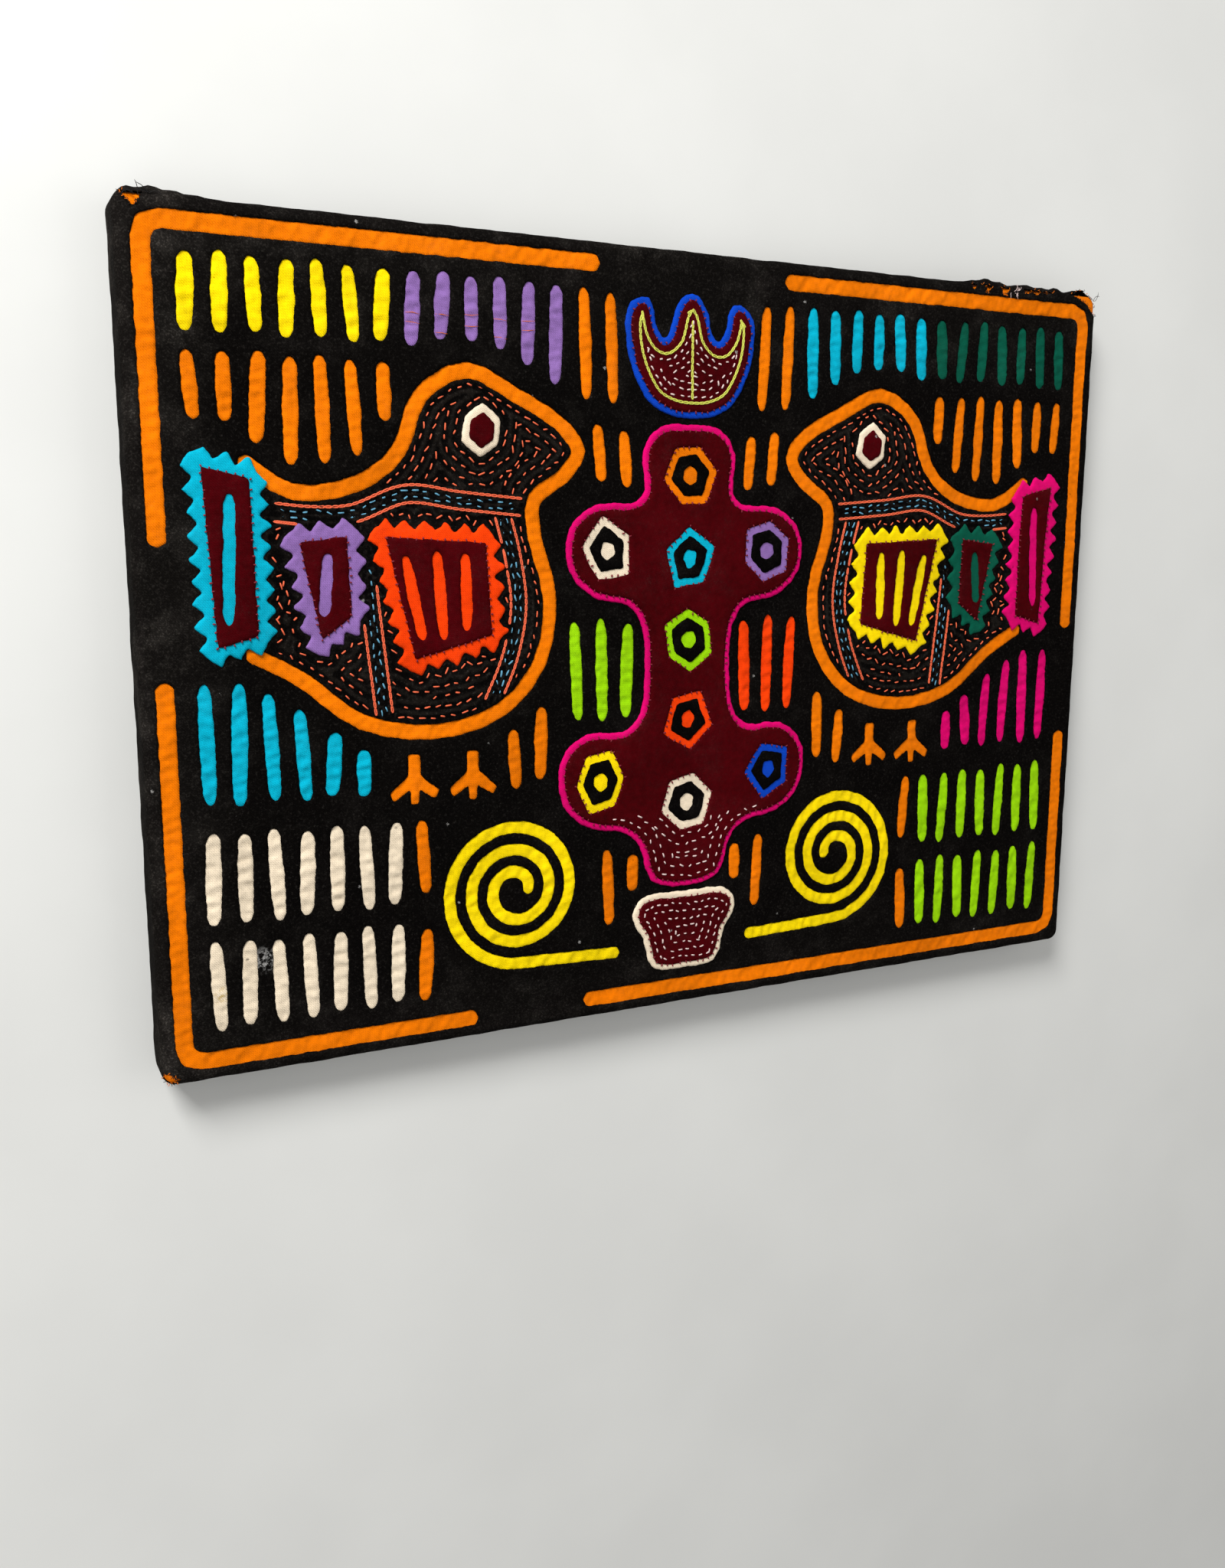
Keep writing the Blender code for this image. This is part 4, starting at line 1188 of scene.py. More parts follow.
class Threads:
    """Stitches of one colour, gathered into one mesh."""

    def __init__(self):
        self.points, self.faces, self.count = [], [], 0

    def tube(self, path, radius, sides=5, closed=False):
        """A thread along a path of points, which tapers at its ends unless it is closed."""
        path = np.asarray(path, float)
        size = len(path)
        run = np.roll(path, -1, axis=0) - np.roll(path, 1, axis=0) if closed else np.gradient(path, axis=0)
        run /= np.maximum(np.linalg.norm(run, axis=1), 1e-9)[:, None]
        side = np.cross(run, (0.0, 0.0, 1.0))
        side /= np.maximum(np.linalg.norm(side, axis=1), 1e-9)[:, None]
        up = np.cross(side, run)
        angles = np.arange(sides) * 2 * pi / sides
        radii = np.full(size, radius)
        if not closed:
            radii[[0, -1]] *= 0.45
        cosines, sines = (turn(angles)[None, :, None] for turn in (np.cos, np.sin))
        ring = cosines * side[:, None, :] + sines * up[:, None, :]
        self.points.append((path[:, None, :] + ring * radii[:, None, None]).reshape(-1, 3))
        for k in range(size if closed else size - 1):
            a, b = self.count + k * sides, self.count + (k + 1) % size * sides
            for j in range(sides):
                n = (j + 1) % sides
                self.faces.append((a + j, b + j, b + n, a + n))
        if not closed:
            self.faces.append(tuple(self.count + j for j in range(sides)))
            self.faces.append(tuple(self.count + (size - 1) * sides + j for j in range(sides))[::-1])
        self.count += size * sides

    def running(self, places, height, rng, span=None, quilted=None):
        """Running stitches at places of (x, y, angle), each a little off in length and turn."""
        span = span or mm("stitch_length")
        if not places:
            return
        spots = np.array(places)[:, :2]
        bases = height + swell(*spots.T) + (0 if quilted is None else quilted(spots))
        radius = mm("thread_width") / 2
        for (x, y, angle), base in zip(places, bases):
            half = span / 2 * rng.uniform(0.6, 1.2)
            angle = angle + rng.normal(0, 0.24)
            x, y = x + rng.normal(0, 0.24), y + rng.normal(0, 0.24)
            path = []
            for t, lift in STITCH_ARCH:
                path.append((x + cos(angle) * half * t, y + sin(angle) * half * t, base + lift))
            self.tube(path, radius * rng.uniform(0.85, 1.1))

    def chain(self, line, height):
        """A line of chain stitch: each link is a loop that starts in the one before it."""
        link, radius = mm("chain_link"), mm("thread_width") * CHAIN_THREAD
        points, _ = stepped(line, link * 0.82, closed=False)
        for (ax, ay), (bx, by) in zip(points, points[1:]):
            angle = np.arctan2(by - ay, bx - ax)
            base = height + swell(np.array([ax]), np.array([ay]))[0]
            path = []
            for t in np.arange(CHAIN_POINTS) * 2 * pi / CHAIN_POINTS:
                u = (0.5 - 0.5 * cos(t)) * link
                v = sin(t) * link * CHAIN_HALF * (0.6 + 0.4 * u / link)
                x = ax + cos(angle) * u - sin(angle) * v
                y = ay + sin(angle) * u + cos(angle) * v
                path.append((x, y, base + (0.10 + 0.16 * u / link)))
            self.tube(path, radius, 4, closed=True)

    def piece(self, name, colour, slot):
        """Makes the stitches one object in their own thread, attached to the body. The slot it is given is
        not used.
        """
        thing = new_object(name, self.points, self.faces, thread(colour))
        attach(thing, BODY)


def runs_of(mask):
    """The stretches of neighbours in a mask that are all true."""
    marks = np.flatnonzero(np.diff(np.concatenate([[0], mask.astype(int), [0]])))
    return list(zip(marks[::2], marks[1::2]))


def echo_rows(loops, levels, keep, pitch, rng):
    """Places of stitches in rows that follow the loops at these distances: x, y and direction."""
    fine = [stepped(loop, CLOSE_STEP)[0] for loop in loops]
    tree = tree_of(np.vstack(fine))
    places = []
    for loop in fine:
        out = right_of(loop)
        for side in (1, -1):
            for level in levels:
                row = loop + out * level * side
                distance = nearest(tree, row)[1]
                good = (distance > level - 0.1) & keep(row)
                for first, last in runs_of(good):
                    places += spaced(row[first:last], pitch, rng)
    return places


def gaps_in_rows(places, keep, rng):
    """Places for stitches on the rows of the left bird where none of the given ones is near."""
    body, _, fine, tree, _ = bird_field()
    rim = np.vstack(fine)
    grid = scattered(body.min(0), body.max(0), 0.9, rng)
    grid = grid[keep(grid)]
    index, distance = nearest(tree, grid)
    beside_row = (distance - FIRST_ROW + mm("row_pitch") / 2) % mm("row_pitch") - mm("row_pitch") / 2
    on_row = (np.abs(beside_row) < 0.4) & (distance > FIRST_ROW - 0.4)
    away = (grid - rim[index])[on_row]
    taken = [place[:2] for place in places]
    added = []
    for (x, y), (dx, dy) in zip(grid[on_row], away):
        if np.hypot(*(np.array(taken) - (x, y)).T).min() > STITCH_CLEAR:
            taken.append((x, y))
            added.append((x, y, np.arctan2(dx, -dy)))
    return added


def spaced(line, pitch, rng):
    """Places along an open line at an even pitch."""
    if len(line) < 3:
        return []
    along = run_along(line)
    at = np.arange(rng.uniform(0.2, 0.8) * pitch, along[-1], pitch)
    (x, y), ahead, behind = (
        [np.interp(where, along, line[:, axis]) for axis in (0, 1)]
        for where in (at, np.minimum(at + 0.5, along[-1]), np.maximum(at - 0.5, 0)))
    return list(zip(x, y, np.arctan2(ahead[1] - behind[1], ahead[0] - behind[0])))


def flipped(places):
    """The same stitches on the other side of the panel."""
    return [(-x, y, pi - angle) for x, y, angle in places]


def offset_line(points, distance):
    """An open line beside another."""
    line, _ = stepped(smooth(points, 6), 1.0, closed=False)
    run = np.gradient(line, axis=0)
    run /= np.hypot(*run.T)[:, None]
    return line + np.column_stack([-run[:, 1], run[:, 0]]) * distance


class MOLA_OT_bird_stitches(bpy.types.Operator):
    """Fills the birds with salmon running stitches, and sews the paired chain lines"""

    bl_idname = "mola.bird_stitches"
    bl_label = "Stitches on the birds"

    def execute(self, context):
        rng = np.random.default_rng(BIRD_SEED)
        _, outlines, _, outline_tree, seam_tree = bird_field()

        def is_free(points):
            """Which points lie on the bird's black cloth, clear of the seams."""
            return on_bird(points) & (nearest(seam_tree, points)[1] > SEAM_HALF + 1.9)

        levels = FIRST_ROW + mm("row_pitch") * np.arange(7)
        places = echo_rows(outlines, levels, is_free, mm("stitch_pitch"), rng)
        places += gaps_in_rows(places, is_free, rng)
        salmon, blue = Threads(), Threads()
        salmon.running(places + flipped(places), FACE_Z, rng, quilted=bird_quilting)
        for number, seam in enumerate(SEAM_LINES):
            others = [offset_line(other, 0.0) for k, other in enumerate(SEAM_LINES) if k < number]
            for distance in (-SEAM_HALF, SEAM_HALF, -SEAM_THREADS, SEAM_THREADS):
                beside = offset_line(seam, distance)
                clear = on_bird(beside) & (nearest(outline_tree, beside)[1] > 1.3)
                for other in others:
                    clear &= nearest(tree_of(other), beside)[1] > SEAM_HALF + 0.7
                for first, last in runs_of(clear):
                    if last - first < 5:
                        continue
                    if abs(distance) == SEAM_HALF:
                        salmon.chain(beside[first:last], FACE_Z)
                        salmon.chain(beside[first:last] * (-1, 1), FACE_Z)
                    else:
                        places = spaced(beside[first:last], mm("stitch_pitch"), rng)
                        blue.running(places + flipped(places), FACE_Z, rng, quilted=bird_quilting)
        salmon.piece("salmon_stitches", "salmon", "red_orange_cotton")
        blue.piece("pale_blue_stitches", "pale_blue", "turquoise_cotton")
        return {"FINISHED"}


class MOLA_OT_plant_stitches(bpy.types.Operator):
    """Sews the rows of pale stitches on the maroon pieces and the small stitches along their edges"""

    bl_idname = "mola.plant_stitches"
    bl_label = "Stitches on the maroon"

    def execute(self, context):
        rng = np.random.default_rng(PLANT_SEED)
        pale, leaf, wine = Threads(), Threads(), Threads()
        loops, _, fine = plant_field()

        def on_plant(points):
            """Which points lie at the plant's foot, clear of the windows."""
            free = encloses(fine[0], points) & (points[:, 1] < PLANT_FOOT)
            for window in fine[1:]:
                free &= ~encloses(window, points)
            return free

        levels = FIRST_ROW + mm("row_pitch") * np.arange(5)
        places = echo_rows(loops, levels, on_plant, mm("stitch_pitch"), rng)
        pale.running(places, INLAY_Z, rng, 1.9, plant_quilting)
        flower, pot = whole(FLOWER_HALF), whole(POT_HALF)
        for shape, first, step in ((flower, 5.6, 2.6), (pot, 2.6, 3.2)):
            inside = stepped(shape, 1.0)[0]
            levels = first + step * np.arange(6)
            places = echo_rows([shape], levels, lambda at: encloses(inside, at), 3.4, rng)
            pale.running(places, INLAY_Z, rng, 1.7)
        leaf.chain(closed_up(np.array(grown(flower, -3.4))), INLAY_Z)
        leaf.chain(np.array([(0, 124), (0, 95)]), INLAY_Z)
        hemmed = [flower, pot, *loops]
        for _, _, _, corners in TOOTHED_PIECES:
            hemmed += [list(corners[::-1]), mirrored(corners[::-1])]
        for shape in hemmed:
            loop, _ = stepped(shape, mm("hem_stitch_pitch"))
            out = right_of(loop)
            angles = np.arctan2(out[:, 1], out[:, 0])
            wine.running([(x, y, a) for (x, y), a in zip(loop, angles)], INLAY_Z - 0.2, rng, 0.9)
        pale.piece("rose_white_stitches", "rose_white", "cream_cotton")
        leaf.piece("leaf_yellow_stitches", "leaf_yellow", "lime_cotton")
        wine.piece("wine_stitches", "wine", "maroon_cotton")
        return {"FINISHED"}

class MOLA_OT_loose_threads(bpy.types.Operator):
    """Leaves frayed thread ends at the torn edge and corners, and bits of basting thread in the cuts"""

    bl_idname = "mola.loose_threads"
    bl_label = "Loose threads"

    def execute(self, context):
        rng = np.random.default_rng(LOOSE_SEED)
        dark, orange, pale = Threads(), Threads(), Threads()
        for x, y, z in torn_edges()[::3]:
            threads = (dark, dark, orange)[rng.integers(3)]
            self.wisp(threads, (x, y), rng, z + 0.1, 4, 0.35)
        for _ in range(9):
            self.wisp(pale, (rng.uniform(159, 166), rng.uniform(147.2, 148.4)), rng, FACE_Z - 0.3, 6, 0.6)
        for x, y in ((-203, 148), (-199, 149), (206, 147)):
            for _ in range(3):
                self.wisp(dark, (x + rng.uniform(-2, 2), y), rng, FACE_Z + 0.2, 7, 0.8, rng.uniform(0.2, 2.9))
        for number, x in enumerate((-112, -101, -90, -79, -68)):
            for y in (121 + rng.uniform(-2, 2), 116 - 3 * (number % 2)):
                ends = [(x - 2.6, y), (x, y + rng.uniform(-0.2, 0.2)), (x + 2.6, y + rng.uniform(-0.6, 0.6))]
                base = PATCH_HIGH + 0.35
                orange.tube([(*at, base + swell(*np.array(at)[:, None])[0]) for at in ends], 0.13, 4)
        dark.piece("frayed_black_threads", "black", "black_cotton")
        orange.piece("basting_thread_bits", "orange", "orange_cotton")
        pale.piece("torn_pale_threads", "rose_white", "cream_cotton")
        return {"FINISHED"}

    def wisp(self, threads, at, rng, height, steps, step, heading=None):
        """A short curled end of thread that lies on the cloth."""
        angle = rng.uniform(0, 2 * pi) if heading is None else heading
        bend = rng.uniform(-0.4, 0.4)
        at = np.array(at, float)
        path = []
        for k in range(steps):
            rise = 0.3 * sin(pi * k / steps) * rng.uniform(0.3, 1.0)
            path.append((*at, height + rise + 0.12))
            at = at + np.array([cos(angle), sin(angle)]) * step
            angle += bend + rng.normal(0, 0.15)
        threads.tube(path, 0.12, 4)


# Finishes: lint on fuzzy cloth, dust, and the black that is paler on the ridges of the quilting, partly
# rubbed and partly painted light, with painted shade left dark in the furrows.
FUZZ_COLOUR = (0.085, 0.076, 0.066)
DUST_COLOUR = (0.34, 0.30, 0.26)
# The black on the quilting's ridges: rubbed pale, and lighter still as painted light.
RUBBED_AND_LIT_BLACK = (0.009, 0.0072, 0.006)


def group_with(name, inputs, outputs):
    """A new node group with named sockets, what it is given, and what it gives."""
    tree = bpy.data.node_groups.new(name, "ShaderNodeTree")
    for label, kind, value in inputs:
        socket = tree.interface.new_socket(label, in_out="INPUT", socket_type=f"NodeSocket{kind}")
        if value is not None:
            socket.default_value = value
    for label, kind in outputs:
        tree.interface.new_socket(label, in_out="OUTPUT", socket_type=f"NodeSocket{kind}")
    return tree, tree.nodes.new("NodeGroupInput").outputs, tree.nodes.new("NodeGroupOutput").inputs


def add_node(tree, kind, inputs=None, **settings):
    """A new shader node with its settings, and its inputs, each a value or the socket that feeds it."""
    node = tree.nodes.new("ShaderNode" + kind)
    for name, value in settings.items():
        setattr(node, name, value)
    for name, value in (inputs or {}).items():
        if hasattr(value, "is_linked"):
            tree.links.new(value, node.inputs[name])
        else:
            node.inputs[name].default_value = value
    return node


def math(tree, operation, *values):
    """A Math node's output, from sockets or numbers."""
    return add_node(tree, "Math", dict(enumerate(values)), operation=operation).outputs[0]


def noise(tree, vector, scale, detail=2.0, roughness=0.5):
    """A Noise Texture's output."""
    inputs = {"Vector": vector, "Scale": scale, "Detail": detail, "Roughness": roughness}
    return add_node(tree, "TexNoise", inputs).outputs["Fac"]


def mixed(tree, share, first, second, kind="MIX"):
    """A colour Mix node's output, from sockets or colours."""
    inputs = {"Factor": share}
    for name, colour in (("A", first), ("B", second)):
        inputs[name] = colour if hasattr(colour, "is_linked") else (*colour, 1.0)
    return add_node(tree, "Mix", inputs, data_type="RGBA", blend_type=kind).outputs["Result"]


def ramp(tree, value, low, high):
    """A value spread over 0 to 1 between two limits."""
    inputs = {"Value": value, "From Min": low, "From Max": high}
    return add_node(tree, "MapRange", inputs, interpolation_type="SMOOTHSTEP").outputs["Result"]


def plain_weave():
    """Threads that pass over and under each other, one by one."""
    if "Plain weave" in bpy.data.node_groups:
        return bpy.data.node_groups["Plain weave"]
    tree, given, result = group_with(
        "Plain weave", [("Vector", "Vector", None), ("Pitch", "Float", 0.0005)], [("Height", "Float")])
    parts = add_node(tree, "SeparateXYZ", {0: given["Vector"]}).outputs
    cells, lifts = [], []
    for axis in ("X", "Y"):
        place = math(tree, "DIVIDE", parts[axis], given["Pitch"])
        cells.append(math(tree, "FLOOR", place))
        lifts.append(math(tree, "ABSOLUTE", math(tree, "SINE", math(tree, "MULTIPLY", place, pi))))
    over = math(tree, "FLOORED_MODULO", math(tree, "ADD", *cells), 2.0)
    under = math(tree, "SUBTRACT", 1.0, over)
    lifts = [math(tree, "MULTIPLY", lift, share) for lift, share in zip(lifts, (over, under))]
    tree.links.new(math(tree, "ADD", *lifts), result["Height"])
    return tree


def washed_cotton():
    """Dye that has washed out unevenly, with dust and lint in the weave, and painted shade where the weave's
    threads dip.
    """
    if "Washed cotton" in bpy.data.node_groups:
        return bpy.data.node_groups["Washed cotton"]
    tree, given, result = group_with(
        "Washed cotton",
        [("Vector", "Vector", None), ("Dye", "Color", (0.5, 0.5, 0.5, 1.0)), ("Weave", "Float", 0.5),
         ("Mottle", "Float", 0.2), ("Dust", "Float", 0.1), ("Fuzz", "Float", 0.0), ("Specks", "Float", 0.3),
         ("Speck Color", "Color", (0.6, 0.58, 0.55, 1.0))],
        [("Color", "Color"), ("Roughness", "Float"), ("Height", "Float")])
    place, weave = given["Vector"], given["Weave"]
    broad = math(tree, "SUBTRACT", noise(tree, place, 38, 3), 0.5)
    fine = math(tree, "SUBTRACT", noise(tree, place, 420, 3), 0.5)
    shade = math(tree, "ADD", broad, math(tree, "MULTIPLY", fine, 0.8))
    shade = math(tree, "MULTIPLY_ADD", math(tree, "MULTIPLY", shade, given["Mottle"]), 2.0, 1.0)
    # The weave's height darkens the dye where its threads dip: painted shade between the threads.
    shade = math(tree, "MULTIPLY", shade, math(tree, "MULTIPLY_ADD", weave, 0.24, 0.84))
    scaled = add_node(tree, "VectorMath", operation="SCALE")
    tree.links.new(given["Dye"], scaled.inputs[0])
    tree.links.new(shade, scaled.inputs["Scale"])
    dusty = ramp(tree, noise(tree, place, 55, 6, 0.7), 0.45, 0.75)
    grains = ramp(tree, noise(tree, place, 1500, 2), 0.5, 0.72)
    dust = math(tree, "MULTIPLY", math(tree, "MULTIPLY_ADD", dusty, 0.8, 0.2), given["Dust"])
    dust = math(tree, "MULTIPLY", dust, math(tree, "MULTIPLY_ADD", grains, 0.7, 0.3))
    cells = add_node(tree, "TexVoronoi", {"Vector": place, "Scale": 95}).outputs
    ragged = math(tree, "MULTIPLY_ADD", noise(tree, place, 2400, 3), 0.16, -0.08)
    speck = ramp(tree, math(tree, "ADD", cells["Distance"], ragged), 0.065, 0.035)
    picked = math(tree, "GREATER_THAN", cells["Color"], 0.72)
    lint = math(tree, "MULTIPLY", math(tree, "MULTIPLY", speck, picked), given["Specks"])
    fuzz = math(tree, "MULTIPLY", ramp(tree, noise(tree, place, 900, 5, 0.7), 0.52, 0.8), given["Fuzz"])
    colour = mixed(tree, fuzz, scaled.outputs[0], FUZZ_COLOUR)
    colour = mixed(tree, math(tree, "MINIMUM", dust, 0.9), colour, DUST_COLOUR)
    crinkle = math(tree, "MULTIPLY", noise(tree, place, 240, 3, 0.55), 5.0)
    height = math(tree, "ADD", math(tree, "ADD", weave, crinkle), math(tree, "MULTIPLY", fine, 1.6))
    tree.links.new(mixed(tree, lint, colour, given["Speck Color"]), result["Color"])
    tree.links.new(math(tree, "MULTIPLY_ADD", fine, 0.1, 0.9), result["Roughness"])
    tree.links.new(height, result["Height"])
    return tree


def wood_grain():
    """Growth rings of planed pine, drawn out along the bar."""
    if "Pine grain" in bpy.data.node_groups:
        return bpy.data.node_groups["Pine grain"]
    tree, given, result = group_with(
        "Pine grain", [("Vector", "Vector", None), ("Wood", "Color", (0.6, 0.4, 0.2, 1.0))],
        [("Color", "Color"), ("Roughness", "Float"), ("Height", "Float")])
    drawn_out = {0: given["Vector"], 1: (0.06, 1.0, 1.0)}
    stretched = add_node(tree, "VectorMath", drawn_out, operation="MULTIPLY").outputs[0]
    rings = {"Vector": stretched, "Scale": 55, "Distortion": 6, "Detail": 3, "Detail Scale": 1.2}
    wave = add_node(tree, "TexWave", rings, bands_direction="Y").outputs["Fac"]
    fibre = noise(tree, stretched, 900, 4, 0.6)
    dark = mixed(tree, 1.0, given["Wood"], (0.62, 0.48, 0.36), "MULTIPLY")
    colour = mixed(tree, math(tree, "MULTIPLY", wave, 0.55), given["Wood"], dark)
    colour = mixed(tree, math(tree, "MULTIPLY", fibre, 0.35), colour, dark)
    tree.links.new(colour, result["Color"])
    tree.links.new(math(tree, "MULTIPLY_ADD", fibre, 0.25, 0.5), result["Roughness"])
    tree.links.new(math(tree, "ADD", fibre, wave), result["Height"])
    return tree


def new_material(name):
    """A new material, its nodes, and its texture coordinates."""
    made = bpy.data.materials.new(name)
    made.use_nodes = True
    return made, made.node_tree, add_node(made.node_tree, "TexCoord").outputs


def feed_shader(tree, colour, roughness, height=None, distance=0.0, strength=0.0):
    """Feeds a material's shader with its colour, its roughness and the relief of its surface."""
    shader = tree.nodes["Principled BSDF"]
    tree.links.new(colour, shader.inputs["Base Color"])
    tree.links.new(roughness, shader.inputs["Roughness"])
    if height is not None:
        relief = add_node(tree, "Bump", {"Height": height, "Distance": distance, "Strength": strength})
        tree.links.new(relief.outputs["Normal"], shader.inputs["Normal"])
    return shader


def cotton(colour):
    """Woven cotton of one dye, with lint and dust that show most on the dark ones. On the black, painted
    light falls on the ridges of its quilting and painted shade in the furrows.
    """
    name = f"{colour.replace('_', ' ').capitalize()} cotton"
    if name in bpy.data.materials:
        return bpy.data.materials[name]
    made, tree, where = new_material(name)
    place, dark = where["Object"], colour in ("black", "maroon")
    weave = add_node(
        tree, "Group", {"Pitch": mm("weave_pitch") * MM, "Vector": where["UV"]}, node_tree=plain_weave())
    dyed = tuple(getattr(bpy.context.scene.mola_dyes, colour))
    inputs = {
        "Vector": place, "Weave": weave.outputs["Height"], "Dye": (*dyed, 1.0), "Dust": 0.03,
        "Mottle": 0.55 if dark else 0.3, "Specks": 0.42 if dark else 0.6,
    }
    if not dark:
        inputs["Speck Color"] = (*[part * 0.25 for part in dyed], 1.0)
    if colour == "maroon":
        inputs["Fuzz"] = 0.04
    if colour == "black":
        inputs["Dust"] = paler_at_left_top_and_foot(tree, place)
        # On the black, fuzz and a paler dye follow the quilting's relief. The ridges are partly rubbed and
        # partly painted light, and the furrows keep the dark dye as painted shade.
        raised = add_node(tree, "Attribute", attribute_name="raised").outputs["Fac"]
        inputs["Fuzz"] = math(tree, "MULTIPLY_ADD", raised, 0.8, -0.15)
        inputs["Dye"] = mixed(tree, ramp(tree, raised, 0.4, 1.0), dyed, RUBBED_AND_LIT_BLACK)
    for cloth, centre, reach, tint in STAINS:
        if cloth == colour:
            inputs["Dye"] = stained(tree, place, inputs["Dye"], centre, reach, tint)
    washed = add_node(tree, "Group", inputs, node_tree=washed_cotton()).outputs
    shader = feed_shader(tree, washed["Color"], washed["Roughness"], washed["Height"], 0.00012, 0.6)
    shader.inputs["Specular IOR Level"].default_value = 0.01 if dark else 0.04
    return made


def stained(tree, place, dyed, centre, reach, tint):
    """A cotton's dye with a stain on it: a ragged mark that fades towards its rim."""
    apart = add_node(tree, "VectorMath", {0: place, 1: centre}, operation="DISTANCE").outputs["Value"]
    patchy = ramp(tree, noise(tree, place, 700, 5, 0.65), 0.44, 0.62)
    share = math(tree, "MULTIPLY", ramp(tree, apart, reach, reach * 0.15), patchy)
    return mixed(tree, share, dyed if hasattr(dyed, "is_linked") else dyed[:3], tint)


def paler_at_left_top_and_foot(tree, place):
    """A paler, browner colour towards the left side, the top and the foot than on the rest."""
    parts = add_node(tree, "SeparateXYZ", {0: place}).outputs
    side = ramp(tree, parts["X"], -0.17, -0.214)
    top = ramp(tree, parts["Y"], 0.09, 0.155)
    foot = ramp(tree, parts["Y"], -0.11, -0.152)
    both = math(tree, "MULTIPLY", math(tree, "ADD", top, foot), 0.4)
    return math(tree, "MULTIPLY_ADD", math(tree, "ADD", both, math(tree, "MULTIPLY", side, 0.7)), 0.22, 0.04)


def thread(colour):
    """Twisted sewing thread of one dye."""
    name = f"{colour.replace('_', ' ').capitalize()} thread"
    if name in bpy.data.materials:
        return bpy.data.materials[name]
    made, tree, where = new_material(name)
    strands = noise(tree, where["Object"], 3200, 2)
    dyed = tuple(getattr(bpy.context.scene.mola_dyes, colour))
    shade = mixed(tree, ramp(tree, strands, 0.35, 0.65), [part * 0.72 for part in dyed], dyed)
    roughness = math(tree, "MULTIPLY_ADD", strands, 0.2, 0.6)
    shader = feed_shader(tree, shade, roughness, strands, 0.0001, 0.5)
    shader.inputs["Specular IOR Level"].default_value = 0.3
    return made


def pine(along_y):
    """Pine for a bar, with its grain along the bar."""
    made, tree, where = new_material("Pine, upright" if along_y else "Pine, level")
    turn = (0.0, 0.0, pi / 2 if along_y else 0.0)
    turned = add_node(tree, "Mapping", {"Vector": where["Object"], "Rotation": turn}).outputs["Vector"]
    wood = (*bpy.context.scene.mola_dyes.pine, 1.0)
    grain = add_node(tree, "Group", {"Vector": turned, "Wood": wood}, node_tree=wood_grain()).outputs
    feed_shader(tree, grain["Color"], grain["Roughness"], grain["Height"], 0.0002, 0.4)
    return made


class MOLA_OT_bar_finish(bpy.types.Operator):
    """Gives the four bars of the frame their planed pine"""

    bl_idname = "mola.bar_finish"
    bl_label = "Finish of the bars"

    def execute(self, context):
        level, upright = pine(False), pine(True)
        finishes = {"top": level, "bottom": level, "left": upright, "right": upright}
        for side, finish in finishes.items():
            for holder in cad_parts[f"frame_bar_{side}"].material_slots:
                holder.material = finish
        return {"FINISHED"}


CAMERA_PLACE = (-0.2716, 0.0405, 0.4946)
CAMERA_LOOK = (0.440, -0.175, -0.881)
CAMERA_UP = (0.076, 0.984, -0.158)
CAMERA_LENS = 31.32
# Lights, which all face the middle of the panel: place, size, watts.
LIGHTS = (
    ((-0.75, 0.95, 0.80), 0.5, 23.0),
    ((-1.1, -0.6, 0.9), 1.0, 3.0),
    ((1.0, 0.1, 1.0), 1.0, 3.0),
)
SURROUND = 0.30


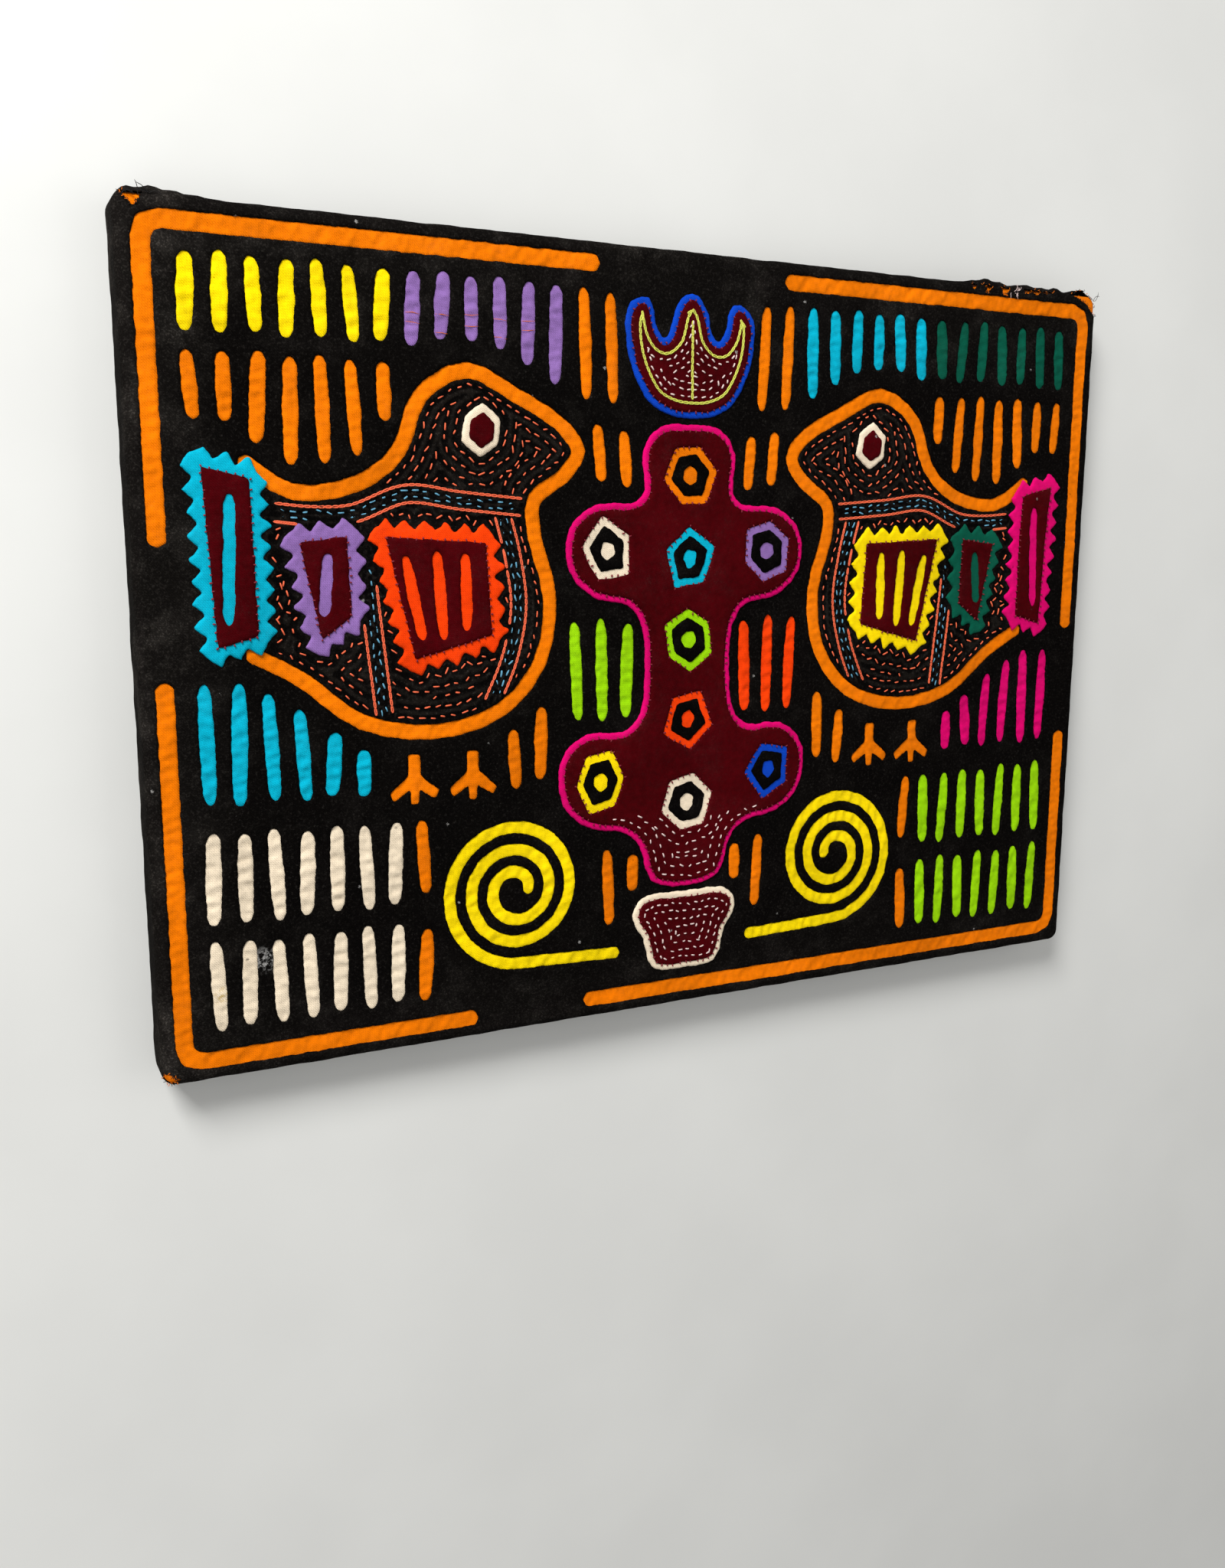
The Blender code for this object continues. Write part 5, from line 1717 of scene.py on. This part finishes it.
class MOLA_OT_stage(bpy.types.Operator):
    """Sets the pale floor, the soft lights and the camera"""

    bl_idname = "mola.stage"
    bl_label = "Floor, lights and camera"

    def execute(self, context):
        bpy.ops.object.select_all(action="DESELECT")
        bpy.ops.mesh.primitive_plane_add(size=12.0, location=(0.0, 0.0, -0.0002))
        floor = context.object
        floor.name = "pale_floor"
        bpy.ops.object.transform_apply(location=True)
        floor.data.materials.append(self.floor_paint())
        for place, size, watts in LIGHTS:
            bpy.ops.object.light_add(type="AREA", location=place)
            light = context.object
            light.data.size = size
            light.data.energy = watts
            light.rotation_euler = (-Vector(place)).to_track_quat("-Z", "Y").to_euler()
        world = bpy.data.worlds.new("Pale surround")
        world.use_nodes = True
        background = world.node_tree.nodes["Background"]
        background.inputs["Color"].default_value = (1.0, 1.0, 1.0, 1.0)
        background.inputs["Strength"].default_value = SURROUND
        context.scene.world = world
        bpy.ops.object.camera_add(location=CAMERA_PLACE)
        camera = context.object
        look, up = Vector(CAMERA_LOOK).normalized(), Vector(CAMERA_UP).normalized()
        right = look.cross(up).normalized()
        camera.rotation_euler = Matrix((right, right.cross(look), -look)).transposed().to_euler()
        camera.data.sensor_width = 36.0
        camera.data.lens = CAMERA_LENS
        camera.data.clip_start = 0.01
        context.scene.camera = camera
        context.scene.view_settings.view_transform = "Standard"
        return {"FINISHED"}

    def floor_paint(self):
        """Pale painted board with faint marks."""
        made, tree, where = new_material("Pale painted board")
        paint = tuple(bpy.context.scene.mola_dyes.floor)
        cloudy = ramp(tree, noise(tree, where["Object"], 9, 4), 0.3, 0.7)
        shade = mixed(tree, cloudy, [part * 0.95 for part in paint], paint)
        roughness = math(tree, "MULTIPLY_ADD", noise(tree, where["Object"], 40, 3), 0.2, 0.45)
        feed_shader(tree, shade, roughness)
        return made


OPERATORS = (
    MOLA_OT_stage, MOLA_OT_bar_finish, MOLA_OT_orange_cloth, MOLA_OT_patches, MOLA_OT_black_cloth,
    MOLA_OT_toothed_pieces, MOLA_OT_eyes, MOLA_OT_plant, MOLA_OT_flower_and_pot, MOLA_OT_bird_stitches,
    MOLA_OT_plant_stitches, MOLA_OT_loose_threads,
)


class MOLA_PT_panel(bpy.types.Panel):
    """Sizes, dyes and pieces of the mola panel"""

    bl_idname = "MOLA_PT_panel"
    bl_label = "Mola panel"
    bl_space_type = "VIEW_3D"
    bl_region_type = "UI"
    bl_category = "Mola"

    def draw(self, context):
        for operator in OPERATORS:
            self.layout.operator(operator.bl_idname)
        for group in (context.scene.mola_sizes, context.scene.mola_dyes):
            box = self.layout.box()
            for name in group.bl_rna.properties.keys():
                if name not in ("rna_type", "name"):
                    box.prop(group, name)


CLASSES = (MolaSizes, MolaDyes, *OPERATORS, MOLA_PT_panel)


def register():
    for each in CLASSES:
        bpy.utils.register_class(each)
    bpy.types.Scene.mola_sizes = bpy.props.PointerProperty(type=MolaSizes)
    bpy.types.Scene.mola_dyes = bpy.props.PointerProperty(type=MolaDyes)


def unregister():
    del bpy.types.Scene.mola_dyes
    del bpy.types.Scene.mola_sizes
    for each in reversed(CLASSES):
        bpy.utils.unregister_class(each)


def main():
    register()
    bpy.ops.mola.stage()
    bpy.ops.mola.bar_finish()
    bpy.ops.mola.orange_cloth()
    bpy.ops.mola.patches()
    bpy.ops.mola.black_cloth()
    bpy.ops.mola.toothed_pieces()
    bpy.ops.mola.eyes()
    bpy.ops.mola.plant()
    bpy.ops.mola.flower_and_pot()
    bpy.ops.mola.bird_stitches()
    bpy.ops.mola.plant_stitches()
    bpy.ops.mola.loose_threads()


if __name__ == "__main__":
    main()
